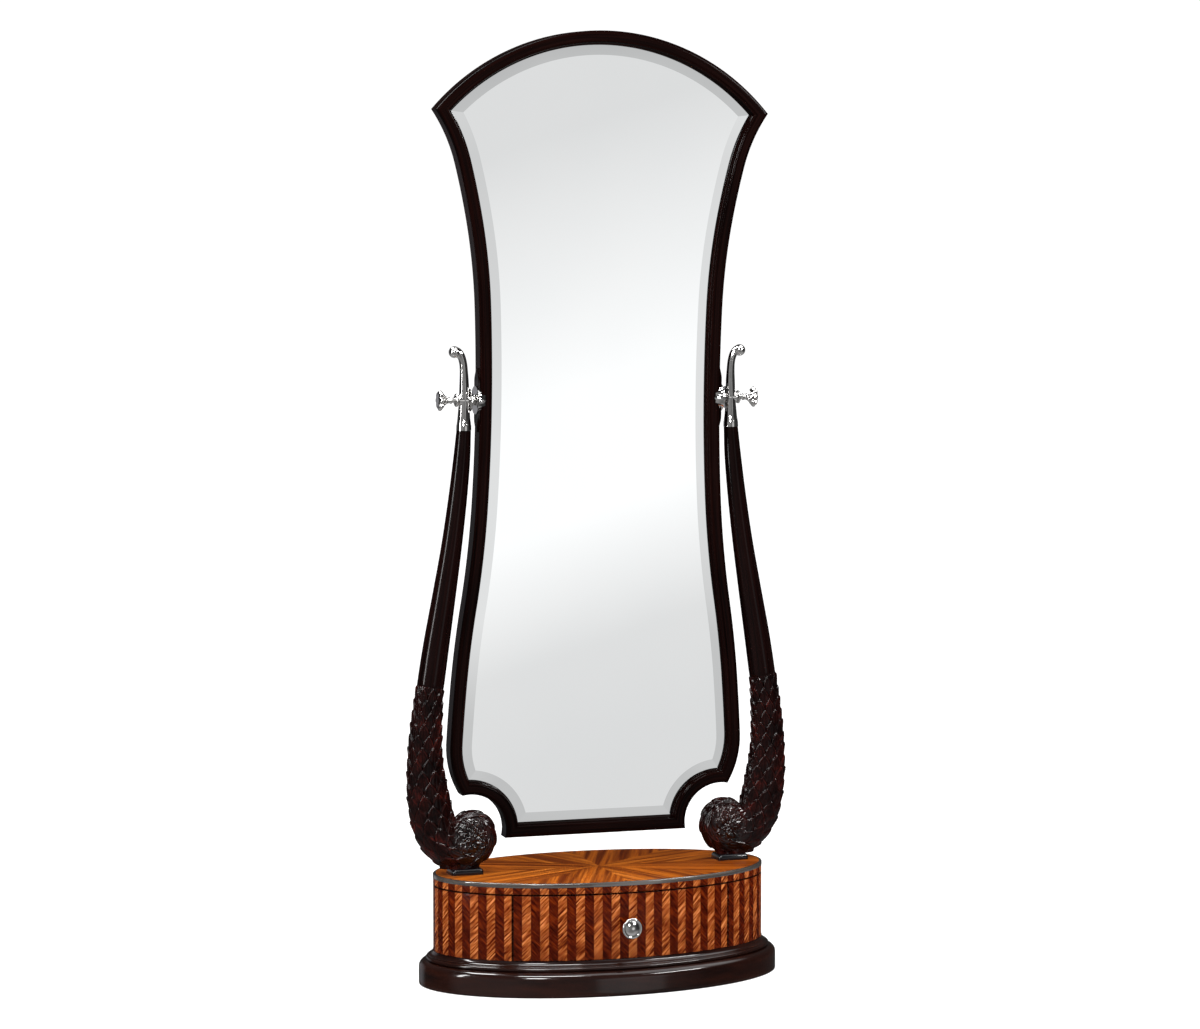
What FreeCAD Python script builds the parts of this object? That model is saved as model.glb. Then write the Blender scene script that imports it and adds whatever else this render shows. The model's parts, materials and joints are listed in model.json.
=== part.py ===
import FreeCAD, Part
import math
import os
import re
import Sketcher

# Cheval floor mirror: a shaped, bevelled glass in an ebonised frame that tilts
# between two scrolled posts on an oval drum with one drawer.
# Frame: +Z up, front towards -Y, +X to the right, origin under the plinth's centre.

Vector = FreeCAD.Vector
Rotation = FreeCAD.Rotation
Placement = FreeCAD.Placement

doc = FreeCAD.newDocument("ChevalMirror")

# ---------------------------------------------------------------- driving sizes (mm)
DRIVING_SIZES = [
    # oval base
    ("drum_half_length", 353.6), ("drum_half_depth", 192.9),
    ("plinth_overhang", 30), ("plinth_height", 46), ("plinth_wall", 75),
    ("plinth_shoulder", 12), ("moulding_height", 24), ("moulding_step", 12),
    ("moulding_overhang", 13), ("neck_overhang", 4), ("shell_thickness", 15),
    ("board_thickness", 16), ("drum_bottom", 70), ("drum_seam", 204.5),
    ("band_bottom", 219.1), ("drum_top", 228.1), ("band_width", 5),
    # drawer and its case
    ("opening_half_width", 231.6), ("drawer_gap", 1), ("drawer_half_width", 230.2),
    ("drawer_front_thickness", 18), ("side_thickness", 11), ("side_bottom", 72.4),
    ("side_top", 190), ("drawer_back_face", 122), ("drawer_back_thickness", 10),
    ("tray_bottom", 80), ("tray_thickness", 6), ("runner_height", 10),
    ("runner_width", 24), ("divider_thickness", 12), ("divider_reach", 120),
    ("stop_gap", 0.4), ("stop_half_width", 30), ("stop_depth", 12), ("stop_height", 22),
    # drawer knob
    ("knob_level", 135.35), ("knob_reach", 29.5), ("knob_radius", 21.5),
    ("knob_neck_radius", 6.5), ("knob_rose_radius", 10.5), ("screw_radius", 2.5),
    ("screw_head_radius", 5), ("screw_head_height", 3.5),
    # posts, scrolls and pads
    ("post_centre", 289.65), ("pad_length", 67), ("pad_depth", 52), ("pad_height", 12),
    ("pad_rounding", 5), ("volute_centre", 285.5), ("volute_level", 299.5),
    ("volute_radius", 61), ("volute_depth", 50), ("volute_rounding", 7),
    ("post_foot_centre", 364.3), ("post_foot_level", 600), ("post_top_level", 1137.7),
    ("post_roundness", 0.93), ("horn_roundness", 0.96),
    ("dowel_radius", 8), ("dowel_length", 40), ("tenon_radius", 6), ("tenon_length", 24),
    ("bolt_radius", 4), ("bolt_spacing", 15), ("bolt_depth", 62),
    ("bolt_head_radius", 8), ("bolt_head_height", 6),
    # finial, pivot and clamps
    ("pivot_level", 1199.26), ("horn_eye_radius", 10.5), ("horn_eye_half_width", 11),
    ("ball_centre", 308.5), ("ball_level", 1297), ("ball_radius", 12),
    ("bore_radius", 5), ("spindle_radius", 4.95), ("flange_radius", 23),
    ("flange_thickness", 3.2), ("running_gap", 0.3), ("washer_radius", 13.5),
    ("washer_thickness", 9), ("spindle_inner_end", 243), ("spindle_outer_end", 326),
    ("clamp_outer_end", 345.9), ("clamp_radius", 21.5), ("clamp_neck_length", 5),
    # tilting frame, in its own axes about the pivot
    ("lean", 2.05), ("frame_front", -19), ("frame_back", 19), ("face_width", 24),
    ("sight_width", 28.5), ("glass_rabbet", 18), ("back_rabbet", 9),
    ("bead_plane", -8), ("glass_plane", -3), ("glass_thickness", 5),
    ("backing_plane", 11), ("backing_thickness", 6), ("fitting_gap", 0.5),
    ("stop_strip_width", 12), ("waist_half_width", 259.3), ("waist_level", 20),
    ("crest_corner_x", 356.7), ("crest_corner_z", 587.2), ("crest_top", 750.7),
    ("heel_x", 289.7), ("heel_z", -813.4), ("notch_x", 217.5), ("notch_z", -837.2),
    ("foot_x", 197.2), ("foot_z", -905.8),
    ("pivot_pad_height", 130), ("pivot_pad_thickness", 3),
    ("boss_height_radius", 29), ("boss_depth_radius", 27.5), ("boss_inward_radius", 27),
    ("boss_plate", 3.7), ("collar_radius", 11.5),
    ("back_screw_inset", 13.8), ("back_screw_radius", 1.75), ("back_screw_length", 13),
    ("back_screw_head", 3.5), ("back_screw_head_height", 2),
    # how far cutting tools run past the piece that they cut
    ("overrun", 5), ("cutter_reach", 60),
]

sheet = doc.addObject("Spreadsheet::Sheet", "Sizes")
for row, (alias, value) in enumerate(DRIVING_SIZES, start=1):
    sheet.set("A%d" % row, alias)
    sheet.set("B%d" % row, str(value))
    sheet.setAlias("B%d" % row, alias)
doc.recompute()


def formula(text):
    """The same formula as a FreeCAD expression that points at the sheet."""
    return re.sub(r"[a-z_]+", lambda word: "Sizes." + word.group(), str(text))


working = doc.addObject("Spreadsheet::Sheet", "Working")


def size(text):
    """Value of a formula, worked out in a spare cell of a second sheet."""
    working.set("A1", "=" + formula(text))
    working.recompute()
    return float(working.get("A1"))


def bind(item, **sizes):
    for name, text in sizes.items():
        item.setExpression(name, formula(text))
    return item


def move_to(item, x="0", y="0", z="0", turn=None):
    """Bind a piece's position to the sheet, with an optional fixed turn."""
    if turn:
        item.Placement = Placement(Vector(), turn)
    for letter, text in (("x", x), ("y", y), ("z", z)):
        if str(text) != "0":
            item.setExpression("Placement.Base." + letter, formula(text))
    return item


ALONG = {"x": Rotation(Vector(0, 1, 0), 90), "y": Rotation(Vector(1, 0, 0), -90),
         "z": Rotation()}


def box(name, x_from, x_to, y_from, y_to, z_from, z_to):
    item = doc.addObject("Part::Box", name)
    bind(item, Length="(%s) - (%s)" % (x_to, x_from), Width="(%s) - (%s)" % (y_to, y_from),
         Height="(%s) - (%s)" % (z_to, z_from))
    return move_to(item, x_from, y_from, z_from)


def rod(name, axis, radius, length, x="0", y="0", z="0"):
    """Round bar from a start point towards +axis."""
    item = doc.addObject("Part::Cylinder", name)
    bind(item, Radius=radius, Height=length)
    return move_to(item, x, y, z, ALONG[axis])


def oval(name, inset, z_from, z_to):
    """Upright elliptical slab, the drum's outline moved in by a distance."""
    edge = doc.addObject("Part::Ellipse", name + "_edge")
    bind(edge, MajorRadius="drum_half_length - (%s)" % inset,
         MinorRadius="drum_half_depth - (%s)" % inset)
    move_to(edge, z=z_from)
    slab = doc.addObject("Part::Extrusion", name)
    slab.Base = edge
    slab.DirMode = "Custom"
    slab.Dir = Vector(0, 0, 1)
    slab.Solid = True
    return bind(slab, LengthFwd="(%s) - (%s)" % (z_to, z_from))


def cut(name, base, tool):
    item = doc.addObject("Part::Cut", name)
    item.Base, item.Tool = base, tool
    return item


def common(name, base, tool):
    item = doc.addObject("Part::Common", name)
    item.Base, item.Tool = base, tool
    return item


def join(name, pieces):
    item = doc.addObject("Part::MultiFuse", name)
    item.Shapes = pieces
    item.Refine = True
    return item


def group(name, pieces):
    """Separate solids kept side by side in one sub-part."""
    item = doc.addObject("Part::Compound", name)
    item.Links = pieces
    return item


def oval_ring(name, outer, inner, z_from, z_to):
    return cut(name, oval(name + "_outer", outer, z_from, z_to),
               oval(name + "_inner", inner, z_from, z_to))


def round_edges(name, base, radius, wanted):
    """Fillet the edges for which wanted(edge) is true."""
    doc.recompute()
    item = doc.addObject("Part::Fillet", name)
    item.Base = base
    item.Edges = [(index, size(radius), size(radius))
                  for index, edge in enumerate(base.Shape.Edges, start=1) if wanted(edge)]
    return item


def turned(name, axis, profile):
    """Lathe-turned piece: profile points are (distance along the axis, radius)."""
    body = doc.addObject("PartDesign::Body", name)
    sketch = body.newObject("Sketcher::SketchObject", name + "_profile")
    plane = [item for item in body.Origin.OriginFeatures if item.Role == "XY_Plane"][0]
    sketch.AttachmentSupport = [(plane, "")]
    sketch.MapMode = "FlatFace"
    points = [Vector(size(along), size(radius), 0) for along, radius in profile]
    count = len(points)
    for index, point in enumerate(points):
        sketch.addGeometry(Part.LineSegment(point, points[(index + 1) % count]), False)
    for index in range(count):
        sketch.addConstraint(Sketcher.Constraint("Coincident", index, 2,
                                                 (index + 1) % count, 1))
    for index, (along, radius) in enumerate(profile):
        for kind, text in (("DistanceX", along), ("DistanceY", radius)):
            number = sketch.addConstraint(Sketcher.Constraint(kind, -1, 1, index, 1,
                                                              size(text)))
            sketch.setExpression("Constraints[%d]" % number, formula(text))
    turn = body.newObject("PartDesign::Revolution", name + "_turn")
    turn.Profile = sketch
    turn.ReferenceAxis = (sketch, ["H_Axis"])
    turn.Angle = 360
    if axis == "y":
        body.Placement = Placement(Vector(), Rotation(Vector(0, 0, 1), 90))
    return body


NODES = {}


def node(name, item):
    item.Label = name
    NODES[name] = item
    return item


SIDES = (("left", -1), ("right", 1))


def signed(side, text):
    return "0 - (%s)" % text if side < 0 else text


def place_side(item, side):
    """Pieces turned for the right side go to the left by half a turn about Z."""
    if side < 0:
        item.Placement = Placement(Vector(), Rotation(Vector(0, 0, 1), 180)) * item.Placement
    return item


# ---------------------------------------------------------------- oval base
def is_top_outline(edge):
    return (abs(edge.BoundBox.ZMin - size("plinth_height")) < 0.01
            and edge.BoundBox.XLength > 2 * size("drum_half_length"))


plinth_ring = oval_ring("PlinthRing", "0 - plinth_overhang", "plinth_wall", "0", "plinth_height")
node("plinth_base", round_edges("PlinthBase", plinth_ring, "plinth_shoulder", is_top_outline))

moulding_foot = oval("MouldingFoot", "0 - moulding_overhang", "plinth_height",
                     "plinth_height + moulding_step")
moulding_neck = oval("MouldingNeck", "0 - neck_overhang", "plinth_height + moulding_step",
                     "plinth_height + moulding_height")
moulding_hole = oval("MouldingHole", "shell_thickness + 1", "plinth_height",
                     "plinth_height + moulding_height")
node("plinth_moulding", cut("PlinthMoulding", join("MouldingBlank", [moulding_foot, moulding_neck]),
                            moulding_hole))
node("bottom_board", oval("BottomBoard", "shell_thickness + 1", "plinth_height",
                          "plinth_height + board_thickness"))

shell_ring = oval_ring("ShellRing", "0", "shell_thickness", "drum_bottom", "drum_seam")
drawer_opening = box("DrawerOpening", "0 - opening_half_width", "opening_half_width",
                     "0 - drum_half_depth - overrun", "0", "drum_bottom - overrun",
                     "drum_seam + overrun")
node("back_shell", cut("BackShell", shell_ring, drawer_opening))
node("top_frieze", oval_ring("TopFrieze", "0", "shell_thickness", "drum_seam", "band_bottom"))
node("top_edge_band", oval_ring("TopEdgeBand", "0", "band_width", "band_bottom", "drum_top"))

top_core = oval("TopCore", "shell_thickness", "drum_seam", "band_bottom")
top_leaf = oval("TopLeaf", "band_width", "band_bottom", "drum_top")
top_board = join("TopBoard", [top_core, top_leaf])

case_floor = "plinth_height + board_thickness"
for side_name, side in SIDES:
    near, far = "opening_half_width", "opening_half_width + divider_thickness"
    edges = [signed(side, far), signed(side, near)] if side < 0 else [near, far]
    node("case_divider_" + side_name,
         box("CaseDivider_" + side_name, edges[0], edges[1], "0 - divider_reach",
             "divider_reach", case_floor, "drum_seam"))
    near, far = "opening_half_width - runner_width", "opening_half_width"
    edges = [signed(side, far), signed(side, near)] if side < 0 else [near, far]
    node("drawer_runner_" + side_name,
         box("DrawerRunner_" + side_name, edges[0], edges[1], "0 - divider_reach",
             "divider_reach", case_floor, case_floor + " + runner_height"))
node("drawer_stop", box("DrawerStop", "0 - stop_half_width", "stop_half_width",
                        "drawer_back_face + stop_gap",
                        "drawer_back_face + stop_gap + stop_depth",
                        case_floor, case_floor + " + stop_height"))

# ---------------------------------------------------------------- drawer
front_ring = oval_ring("FrontRing", "0", "drawer_front_thickness",
                       "drum_bottom + drawer_gap", "drum_seam - drawer_gap")
front_span = box("FrontSpan", "drawer_gap - opening_half_width",
                 "opening_half_width - drawer_gap", "0 - drum_half_depth - overrun",
                 "0 - cutter_reach", "drum_bottom", "drum_seam")
front_blank = common("FrontBlank", front_ring, front_span)
front_hole = rod("FrontHole", "y", "screw_radius", "cutter_reach", "0",
                 "0 - drum_half_depth - overrun", "knob_level")
node("drawer_front", cut("DrawerFront", front_blank, front_hole))

inside_front = oval("InsideFront", "drawer_front_thickness", "side_bottom", "side_top")
for side_name, side in SIDES:
    near, far = "drawer_half_width - side_thickness", "drawer_half_width"
    edges = [signed(side, far), signed(side, near)] if side < 0 else [near, far]
    plank = box("SidePlank_" + side_name, edges[0], edges[1], "0 - drum_half_depth",
                "drawer_back_face", "side_bottom", "side_top")
    node("drawer_side_" + side_name, common("DrawerSide_" + side_name, plank, inside_front))
tray_half = "drawer_half_width - side_thickness"
tray_plank = box("TrayPlank", "side_thickness - drawer_half_width", tray_half,
                 "0 - drum_half_depth", "drawer_back_face - drawer_back_thickness",
                 "tray_bottom", "tray_bottom + tray_thickness")
node("drawer_bottom", common("DrawerBottom", tray_plank, inside_front))
node("drawer_back", box("DrawerBack", "side_thickness - drawer_half_width", tray_half,
                        "drawer_back_face - drawer_back_thickness", "drawer_back_face",
                        "side_bottom", "side_top - 6"))

# Knob profile runs from the drawer front (0) out to its domed face.
knob = turned("DrawerKnob", "y", [
    ("0", "0"), ("0", "knob_rose_radius"), ("2.5", "knob_rose_radius"),
    ("4", "knob_neck_radius"), ("knob_reach - 16", "knob_neck_radius"),
    ("knob_reach - 12", "knob_radius - 6"), ("knob_reach - 9", "knob_radius"),
    ("knob_reach - 5", "knob_radius"), ("knob_reach - 2.5", "knob_radius - 3"),
    ("knob_reach - 1", "knob_radius - 9"), ("knob_reach", "knob_radius - 15"),
    ("knob_reach", "0")])
knob.Placement = Placement(Vector(0, -size("drum_half_depth"), size("knob_level")),
                           Rotation(Vector(0, 0, 1), -90))
screw_shank = rod("ScrewShank", "y", "screw_radius", "drawer_front_thickness + 9",
                  "0", "0 - drum_half_depth - 9", "knob_level")
screw_head = rod("ScrewHead", "y", "screw_head_radius", "screw_head_height",
                 "0", "drawer_front_thickness - drum_half_depth", "knob_level")
knob_screw = node("knob_screw", join("KnobScrew", [screw_shank, screw_head]))
node("drawer_knob", cut("KnobBored", knob, screw_shank))

# ---------------------------------------------------------------- posts and scrolls
# Sections down the scrolled foot, from the post to the pad:
# (distance from the centre plane, level, half width across the sweep, half depth, turn)
SCROLL_SECTIONS = [
    (364.3, 600.0, 29.5, 27.0, 0.0), (371.5, 525.0, 34.0, 27.0, 4.0),
    (373.9, 462.0, 39.0, 27.0, 1.0), (367.5, 393.0, 46.0, 26.5, 11.0),
    (354.0, 326.0, 48.0, 26.0, 28.0), (330.0, 281.0, 43.0, 25.5, 50.0),
    (288.0, 269.0, 30.5, 25.0, 90.0)]
# Sections up the smooth post: (distance from the centre plane, level, half width)
POST_SECTIONS = [(364.3, 600.0, 29.0), (349.2, 700.0, 27.3), (332.5, 800.0, 24.5),
                 (316.3, 900.0, 21.7), (302.7, 1000.0, 19.6), (294.0, 1080.0, 17.7),
                 (289.65, 1137.7, 15.2)]
# Sections up the finial's horn: (distance, level, radius, turn)
HORN_SECTIONS = [(289.65, 1137.7, 15.0, 0.0), (289.2, 1170.0, 13.0, 0.0),
                 (288.8, 1199.3, 11.0, 0.0), (288.4, 1228.0, 9.2, 0.0),
                 (289.1, 1256.0, 7.4, 4.0), (290.2, 1275.0, 6.5, 12.0),
                 (294.2, 1291.5, 6.3, 38.0), (302.0, 1299.5, 6.2, 75.0)]


def section(name, side, distance, level, half_width, half_depth, turn):
    edge = doc.addObject("Part::Ellipse", name)
    edge.MajorRadius = half_width
    edge.MinorRadius = half_depth
    edge.Placement = Placement(Vector(side * distance, 0, level),
                               Rotation(Vector(0, 1, 0), side * turn))
    return edge


def lofted(name, sections):
    item = doc.addObject("Part::Loft", name)
    item.Sections = sections
    item.Solid = True
    item.Ruled = False
    return item


for side_name, side in SIDES:
    pad_name = "foot_pad_" + side_name
    centre = signed(side, "post_centre")
    pad_block = box("PadBlock_" + side_name, centre + " - pad_length / 2",
                    centre + " + pad_length / 2", "0 - pad_depth / 2", "pad_depth / 2",
                    "drum_top", "drum_top + pad_height")
    pad = round_edges("PadRound_" + side_name, pad_block, "pad_rounding",
                      lambda edge: edge.BoundBox.ZLength < 0.01
                      or edge.BoundBox.ZLength > size("pad_height") - 0.01)
    shanks = []
    heads = []
    for number, direction in enumerate((" - ", " + "), start=1):
        where = centre + direction + "bolt_spacing"
        tag = "%s_%d" % (side_name, number)
        shanks.append(rod("BoltShank_" + tag, "z", "bolt_radius",
                          "drum_top - drum_seam + pad_height + bolt_depth",
                          where, "0", "drum_seam"))
        heads.append(rod("BoltHead_" + tag, "z", "bolt_head_radius", "bolt_head_height",
                         where, "0", "drum_seam - bolt_head_height"))
    bolts = group("BoltShanks_" + side_name, shanks)
    node(pad_name, cut("FootPad_" + side_name, pad, bolts))
    node("scroll_bolts_" + side_name,
         group("ScrollBolts_" + side_name,
               [join("Bolt_%s_%d" % (side_name, number), [shank, head])
                for number, (shank, head) in enumerate(zip(shanks, heads), start=1)]))

    arm = lofted("ScrollArm_" + side_name,
                 [section("ArmSection_%s_%d" % (side_name, number), side, *values)
                  for number, values in enumerate(SCROLL_SECTIONS)])
    volute = rod("Volute_" + side_name, "y", "volute_radius", "volute_depth",
                 signed(side, "volute_centre"), "0 - volute_depth / 2", "volute_level")
    volute_round = round_edges("VoluteRound_" + side_name, volute, "volute_rounding",
                               lambda edge: edge.Closed)
    under_scroll = box("UnderScroll_" + side_name, centre + " - 2 * cutter_reach",
                       centre + " + 2 * cutter_reach", "0 - cutter_reach", "cutter_reach",
                       "drum_seam", "drum_top + pad_height")
    post_dowel = rod("PostDowel_" + side_name, "z", "dowel_radius", "2 * dowel_length",
                     signed(side, "post_foot_centre"), "0", "post_foot_level - dowel_length")
    scroll = join("ScrollBlank_" + side_name, [arm, volute_round])
    scroll_cuts = group("ScrollCuts_" + side_name, [under_scroll, bolts, post_dowel])
    node("scroll_foot_" + side_name, cut("ScrollFoot_" + side_name, scroll, scroll_cuts))

    shaft = lofted("PostShaft_" + side_name,
                   [section("PostSection_%s_%d" % (side_name, number), side, distance,
                            level, half_width, half_width * size("post_roundness"), 0)
                    for number, (distance, level, half_width) in enumerate(POST_SECTIONS)])
    tenon = rod("PostTenon_" + side_name, "z", "tenon_radius", "2 * tenon_length",
                centre, "0", "post_top_level - tenon_length")
    node("post_" + side_name, join("Post_" + side_name, [shaft, post_dowel, tenon]))

    horn = lofted("HornSweep_" + side_name,
                  [section("HornSection_%s_%d" % (side_name, number), side, distance,
                           level, radius, radius * size("horn_roundness"), turn)
                   for number, (distance, level, radius, turn) in enumerate(HORN_SECTIONS)])
    ball = doc.addObject("Part::Sphere", "HornBall_" + side_name)
    bind(ball, Radius="ball_radius")
    move_to(ball, signed(side, "ball_centre"), "0", "ball_level")
    eye_start = centre + " - horn_eye_half_width"
    eye = rod("HornEye_" + side_name, "x", "horn_eye_radius", "2 * horn_eye_half_width",
              eye_start, "0", "pivot_level")
    bore = rod("HornBore_" + side_name, "x", "bore_radius", "cutter_reach",
               centre + " - cutter_reach / 2", "0", "pivot_level")
    socket = rod("HornSocket_" + side_name, "z", "tenon_radius", "tenon_length + overrun",
                 centre, "0", "post_top_level - overrun")
    flange_start = ("post_centre - horn_eye_half_width - flange_thickness" if side > 0
                    else "0 - post_centre + horn_eye_half_width")
    flange = rod("FlangeDisc_" + side_name, "x", "flange_radius", "flange_thickness",
                 flange_start, "0", "pivot_level")
    horn_cuts = group("HornCuts_" + side_name, [bore, socket, flange])
    node("finial_horn_" + side_name,
         cut("FinialHorn_" + side_name, join("HornBlank_" + side_name, [horn, ball, eye]),
             horn_cuts))
    node("horn_flange_" + side_name, cut("HornFlange_" + side_name, flange, bore))

all_shanks = group("AllShanks", [doc.getObject("BoltShanks_left"),
                                 doc.getObject("BoltShanks_right")])
node("top_panel", cut("TopPanel", top_board, all_shanks))


# ---------------------------------------------------------------- clamps on the pivot axis
for side_name, side in SIDES:
    washer_start = "post_centre + horn_eye_half_width + running_gap"
    washer = turned("ClampCollar_" + side_name, "x", [
        (washer_start, "spindle_radius"), (washer_start, "washer_radius - 4"),
        (washer_start + " + 2", "washer_radius - 3"), (washer_start + " + 3", "washer_radius"),
        (washer_start + " + 6", "washer_radius"), (washer_start + " + 8", "washer_radius - 4"),
        (washer_start + " + washer_thickness", "spindle_radius + 2"),
        (washer_start + " + washer_thickness", "spindle_radius")])
    grip_start = washer_start + " + washer_thickness + clamp_neck_length"
    grip = turned("ClampKnob_" + side_name, "x", [
        (grip_start, "spindle_radius"), (grip_start, "spindle_radius + 1"),
        (grip_start + " + 6", "8.5"), (grip_start + " + 12", "13"),
        (grip_start + " + 18", "18"), ("clamp_outer_end - 7", "clamp_radius"),
        ("clamp_outer_end - 3.5", "clamp_radius"), ("clamp_outer_end - 1", "clamp_radius - 3"),
        ("clamp_outer_end", "clamp_radius - 7"), ("clamp_outer_end - 1.5", "6"),
        ("clamp_outer_end - 1.5", "0"), ("spindle_outer_end", "0"),
        ("spindle_outer_end", "spindle_radius")])
    spindle = rod("ClampSpindle_" + side_name, "x", "spindle_radius",
                  "spindle_outer_end - spindle_inner_end", "spindle_inner_end", "0", "0")
    for item in (washer, grip, spindle):
        place_side(item, side)
        item.setExpression("Placement.Base.z", formula("pivot_level"))
    spindle.setExpression("Placement.Base.x", formula(signed(side, "spindle_inner_end")))
    node("clamp_collar_" + side_name, washer)
    node("clamp_knob_" + side_name, grip)
    node("clamp_spindle_" + side_name, spindle)


# ---------------------------------------------------------------- outline of the tilting frame
def tangent_arcs(points, direction):
    """Arcs through the points, each tangent to the one before."""
    arcs = []
    for start, end in zip(points, points[1:]):
        chord = end - start
        normal = Vector(-direction.y, direction.x, 0)
        radius = chord.Length ** 2 / (2 * chord.dot(normal))
        centre = start + normal * radius
        middle_side = (start + end) * 0.5 - centre
        middle = centre + middle_side * (abs(radius) / middle_side.Length)
        arcs.append(Part.Arc(start, middle, end))
        direction = chord * (2 * chord.dot(direction) / chord.Length ** 2) - direction
    return arcs


# Right edge of the frame, as (distance from the centre line, height over the pivot).
ABOVE_WAIST = [(262.4, 187), (280.2, 356), (306.8, 479)]
BELOW_WAIST = [(265.6, -210), (288.6, -425), (308.5, -590), (316.4, -706)]


def outline_arcs():
    """Closed outline in the XY plane, X across and Y up, about the pivot."""
    waist = Vector(size("waist_half_width"), size("waist_level"), 0)
    crest_corner = Vector(size("crest_corner_x"), size("crest_corner_z"), 0)
    heel = Vector(size("heel_x"), size("heel_z"), 0)
    foot = Vector(size("foot_x"), size("foot_z"), 0)
    upper = tangent_arcs([waist] + [Vector(x, z, 0) for x, z in ABOVE_WAIST] + [crest_corner],
                         Vector(0, 1, 0))
    lower = tangent_arcs([waist] + [Vector(x, z, 0) for x, z in BELOW_WAIST] + [heel],
                         Vector(0, -1, 0))
    notch = Part.Arc(heel, Vector(size("notch_x"), size("notch_z"), 0), foot)
    right = upper + lower + [notch]
    left = []
    for arc in right:
        copy = arc.copy()
        copy.mirror(Vector(0, 0, 0), Vector(0, 1, 0))
        left.append(copy)
    crest = Part.Arc(Vector(-crest_corner.x, crest_corner.y, 0),
                     Vector(0, size("crest_top"), 0), crest_corner)
    bottom = Part.LineSegment(Vector(-foot.x, foot.y, 0), foot)
    return right + left + [crest, bottom]


outline = doc.addObject("Part::Feature", "FrameOutline")
edges = [curve.toShape() for curve in outline_arcs()]
outline.Shape = Part.Wire(Part.__sortEdges__(edges))
TO_FRONT = Rotation(Vector(1, 0, 0), 90)


def inset_slab(name, inset, y_from, y_to):
    """Slab of the outline moved in by a distance, between two planes of depth."""
    wire = outline.Shape
    if size(inset) > 0:
        wire = wire.makeOffset2D(-size(inset), join=2)
    face = doc.addObject("Part::Feature", name + "_face")
    shape = Part.Face(wire)
    shape.Placement = Placement(Vector(0, size(y_to), 0), TO_FRONT)
    face.Shape = shape
    slab = doc.addObject("Part::Extrusion", name)
    slab.Base = face
    slab.DirMode = "Custom"
    slab.Dir = Vector(0, -1, 0)
    slab.Solid = True
    bind(slab, LengthFwd="(%s) - (%s)" % (y_to, y_from))
    return slab


frame_blank = inset_slab("FrameBlank", "0", "frame_front", "frame_back")
front_window = inset_slab("FrontWindow", "face_width", "frame_front", "bead_plane")
sight_window = inset_slab("SightWindow", "sight_width", "bead_plane", "glass_plane")
glass_window = inset_slab("GlassWindow", "glass_rabbet", "glass_plane", "backing_plane")
back_window = inset_slab("BackWindow", "back_rabbet", "backing_plane", "frame_back")

frame_windows = group("FrameWindows", [front_window, sight_window, glass_window, back_window])
bore_near = "spindle_inner_end - 1"
pivot_bore_left = rod("PivotBore_left", "x", "bore_radius", "cutter_reach",
                      signed(-1, bore_near + " + cutter_reach"))
pivot_bore_right = rod("PivotBore_right", "x", "bore_radius", "cutter_reach", bore_near)
pivot_bores = group("PivotBores", [pivot_bore_left, pivot_bore_right])
glass_slab = inset_slab("GlassSlab", "glass_rabbet + fitting_gap", "glass_plane",
                        "glass_plane + glass_thickness")
backing_slab = inset_slab("BackingSlab", "back_rabbet + fitting_gap", "backing_plane",
                          "backing_plane + backing_thickness")
strip_outer = inset_slab("StripOuter", "glass_rabbet + fitting_gap",
                         "glass_plane + glass_thickness", "backing_plane")
strip_inner = inset_slab("StripInner", "glass_rabbet + fitting_gap + stop_strip_width",
                         "glass_plane + glass_thickness", "backing_plane")


# Screws of the backing board: levels over the pivot down each side, and the
# distances from the centre line along the crest and the bottom rail.
SIDE_SCREW_LEVELS = [500, 300, 100, -100, -300, -500, -700]
CREST_SCREW_PLACES = [-240, -80, 80, 240]
BOTTOM_SCREW_PLACES = [-120, 0, 120]


def screw_places():
    """Points on the screw line, a constant distance inside the outline."""
    line = outline.Shape.makeOffset2D(-size("back_screw_inset"), join=2)
    places = []

    def crossings(start, end):
        probe = Part.LineSegment(start, end).toShape()
        for vertex in line.section(probe).Vertexes:
            places.append(Vector(vertex.Point))

    for level in SIDE_SCREW_LEVELS:
        crossings(Vector(-500, level, 0), Vector(500, level, 0))
    for place in CREST_SCREW_PLACES:
        crossings(Vector(place, 100, 0), Vector(place, 900, 0))
    for place in BOTTOM_SCREW_PLACES:
        crossings(Vector(place, -1000, 0), Vector(place, -800, 0))
    return places


back_screws = []
screw_face = size("backing_plane + backing_thickness")
for number, place in enumerate(screw_places(), start=1):
    shank = doc.addObject("Part::Cylinder", "BackShank_%d" % number)
    bind(shank, Radius="back_screw_radius", Height="back_screw_length")
    head = doc.addObject("Part::Cone", "BackHead_%d" % number)
    bind(head, Radius1="back_screw_radius", Radius2="back_screw_head",
         Height="back_screw_head_height")
    shank.Placement = Placement(Vector(place.x, screw_face - size("back_screw_length"), place.y),
                                ALONG["y"])
    head.Placement = Placement(
        Vector(place.x, screw_face - size("back_screw_head_height"), place.y), ALONG["y"])
    back_screws.append(join("BackScrew_%d" % number, [shank, head]))
screw_set = group("BackScrews", back_screws)

# ---------------------------------------------------------------- mitred members
frame_ring = cut("FrameRing", frame_blank, group("FrameCuts", [frame_windows, pivot_bores,
                                                               screw_set]))
inner_wire = outline.Shape.makeOffset2D(-size("sight_width"), join=2)


# How far a mitre line is drawn past the frame's outer and inner corners.
MITRE_OVERRUN = 12


def mitre(corner_x, corner_z):
    """Ends of the mitre line through an outer corner and its inner corner."""
    outer = Vector(corner_x, corner_z, 0)
    inner = min((Vector(vertex.Point) for vertex in inner_wire.Vertexes),
                key=lambda point: (point - outer).Length)
    along = (inner - outer).normalize()
    return outer - along * MITRE_OVERRUN, inner + along * MITRE_OVERRUN


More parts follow.
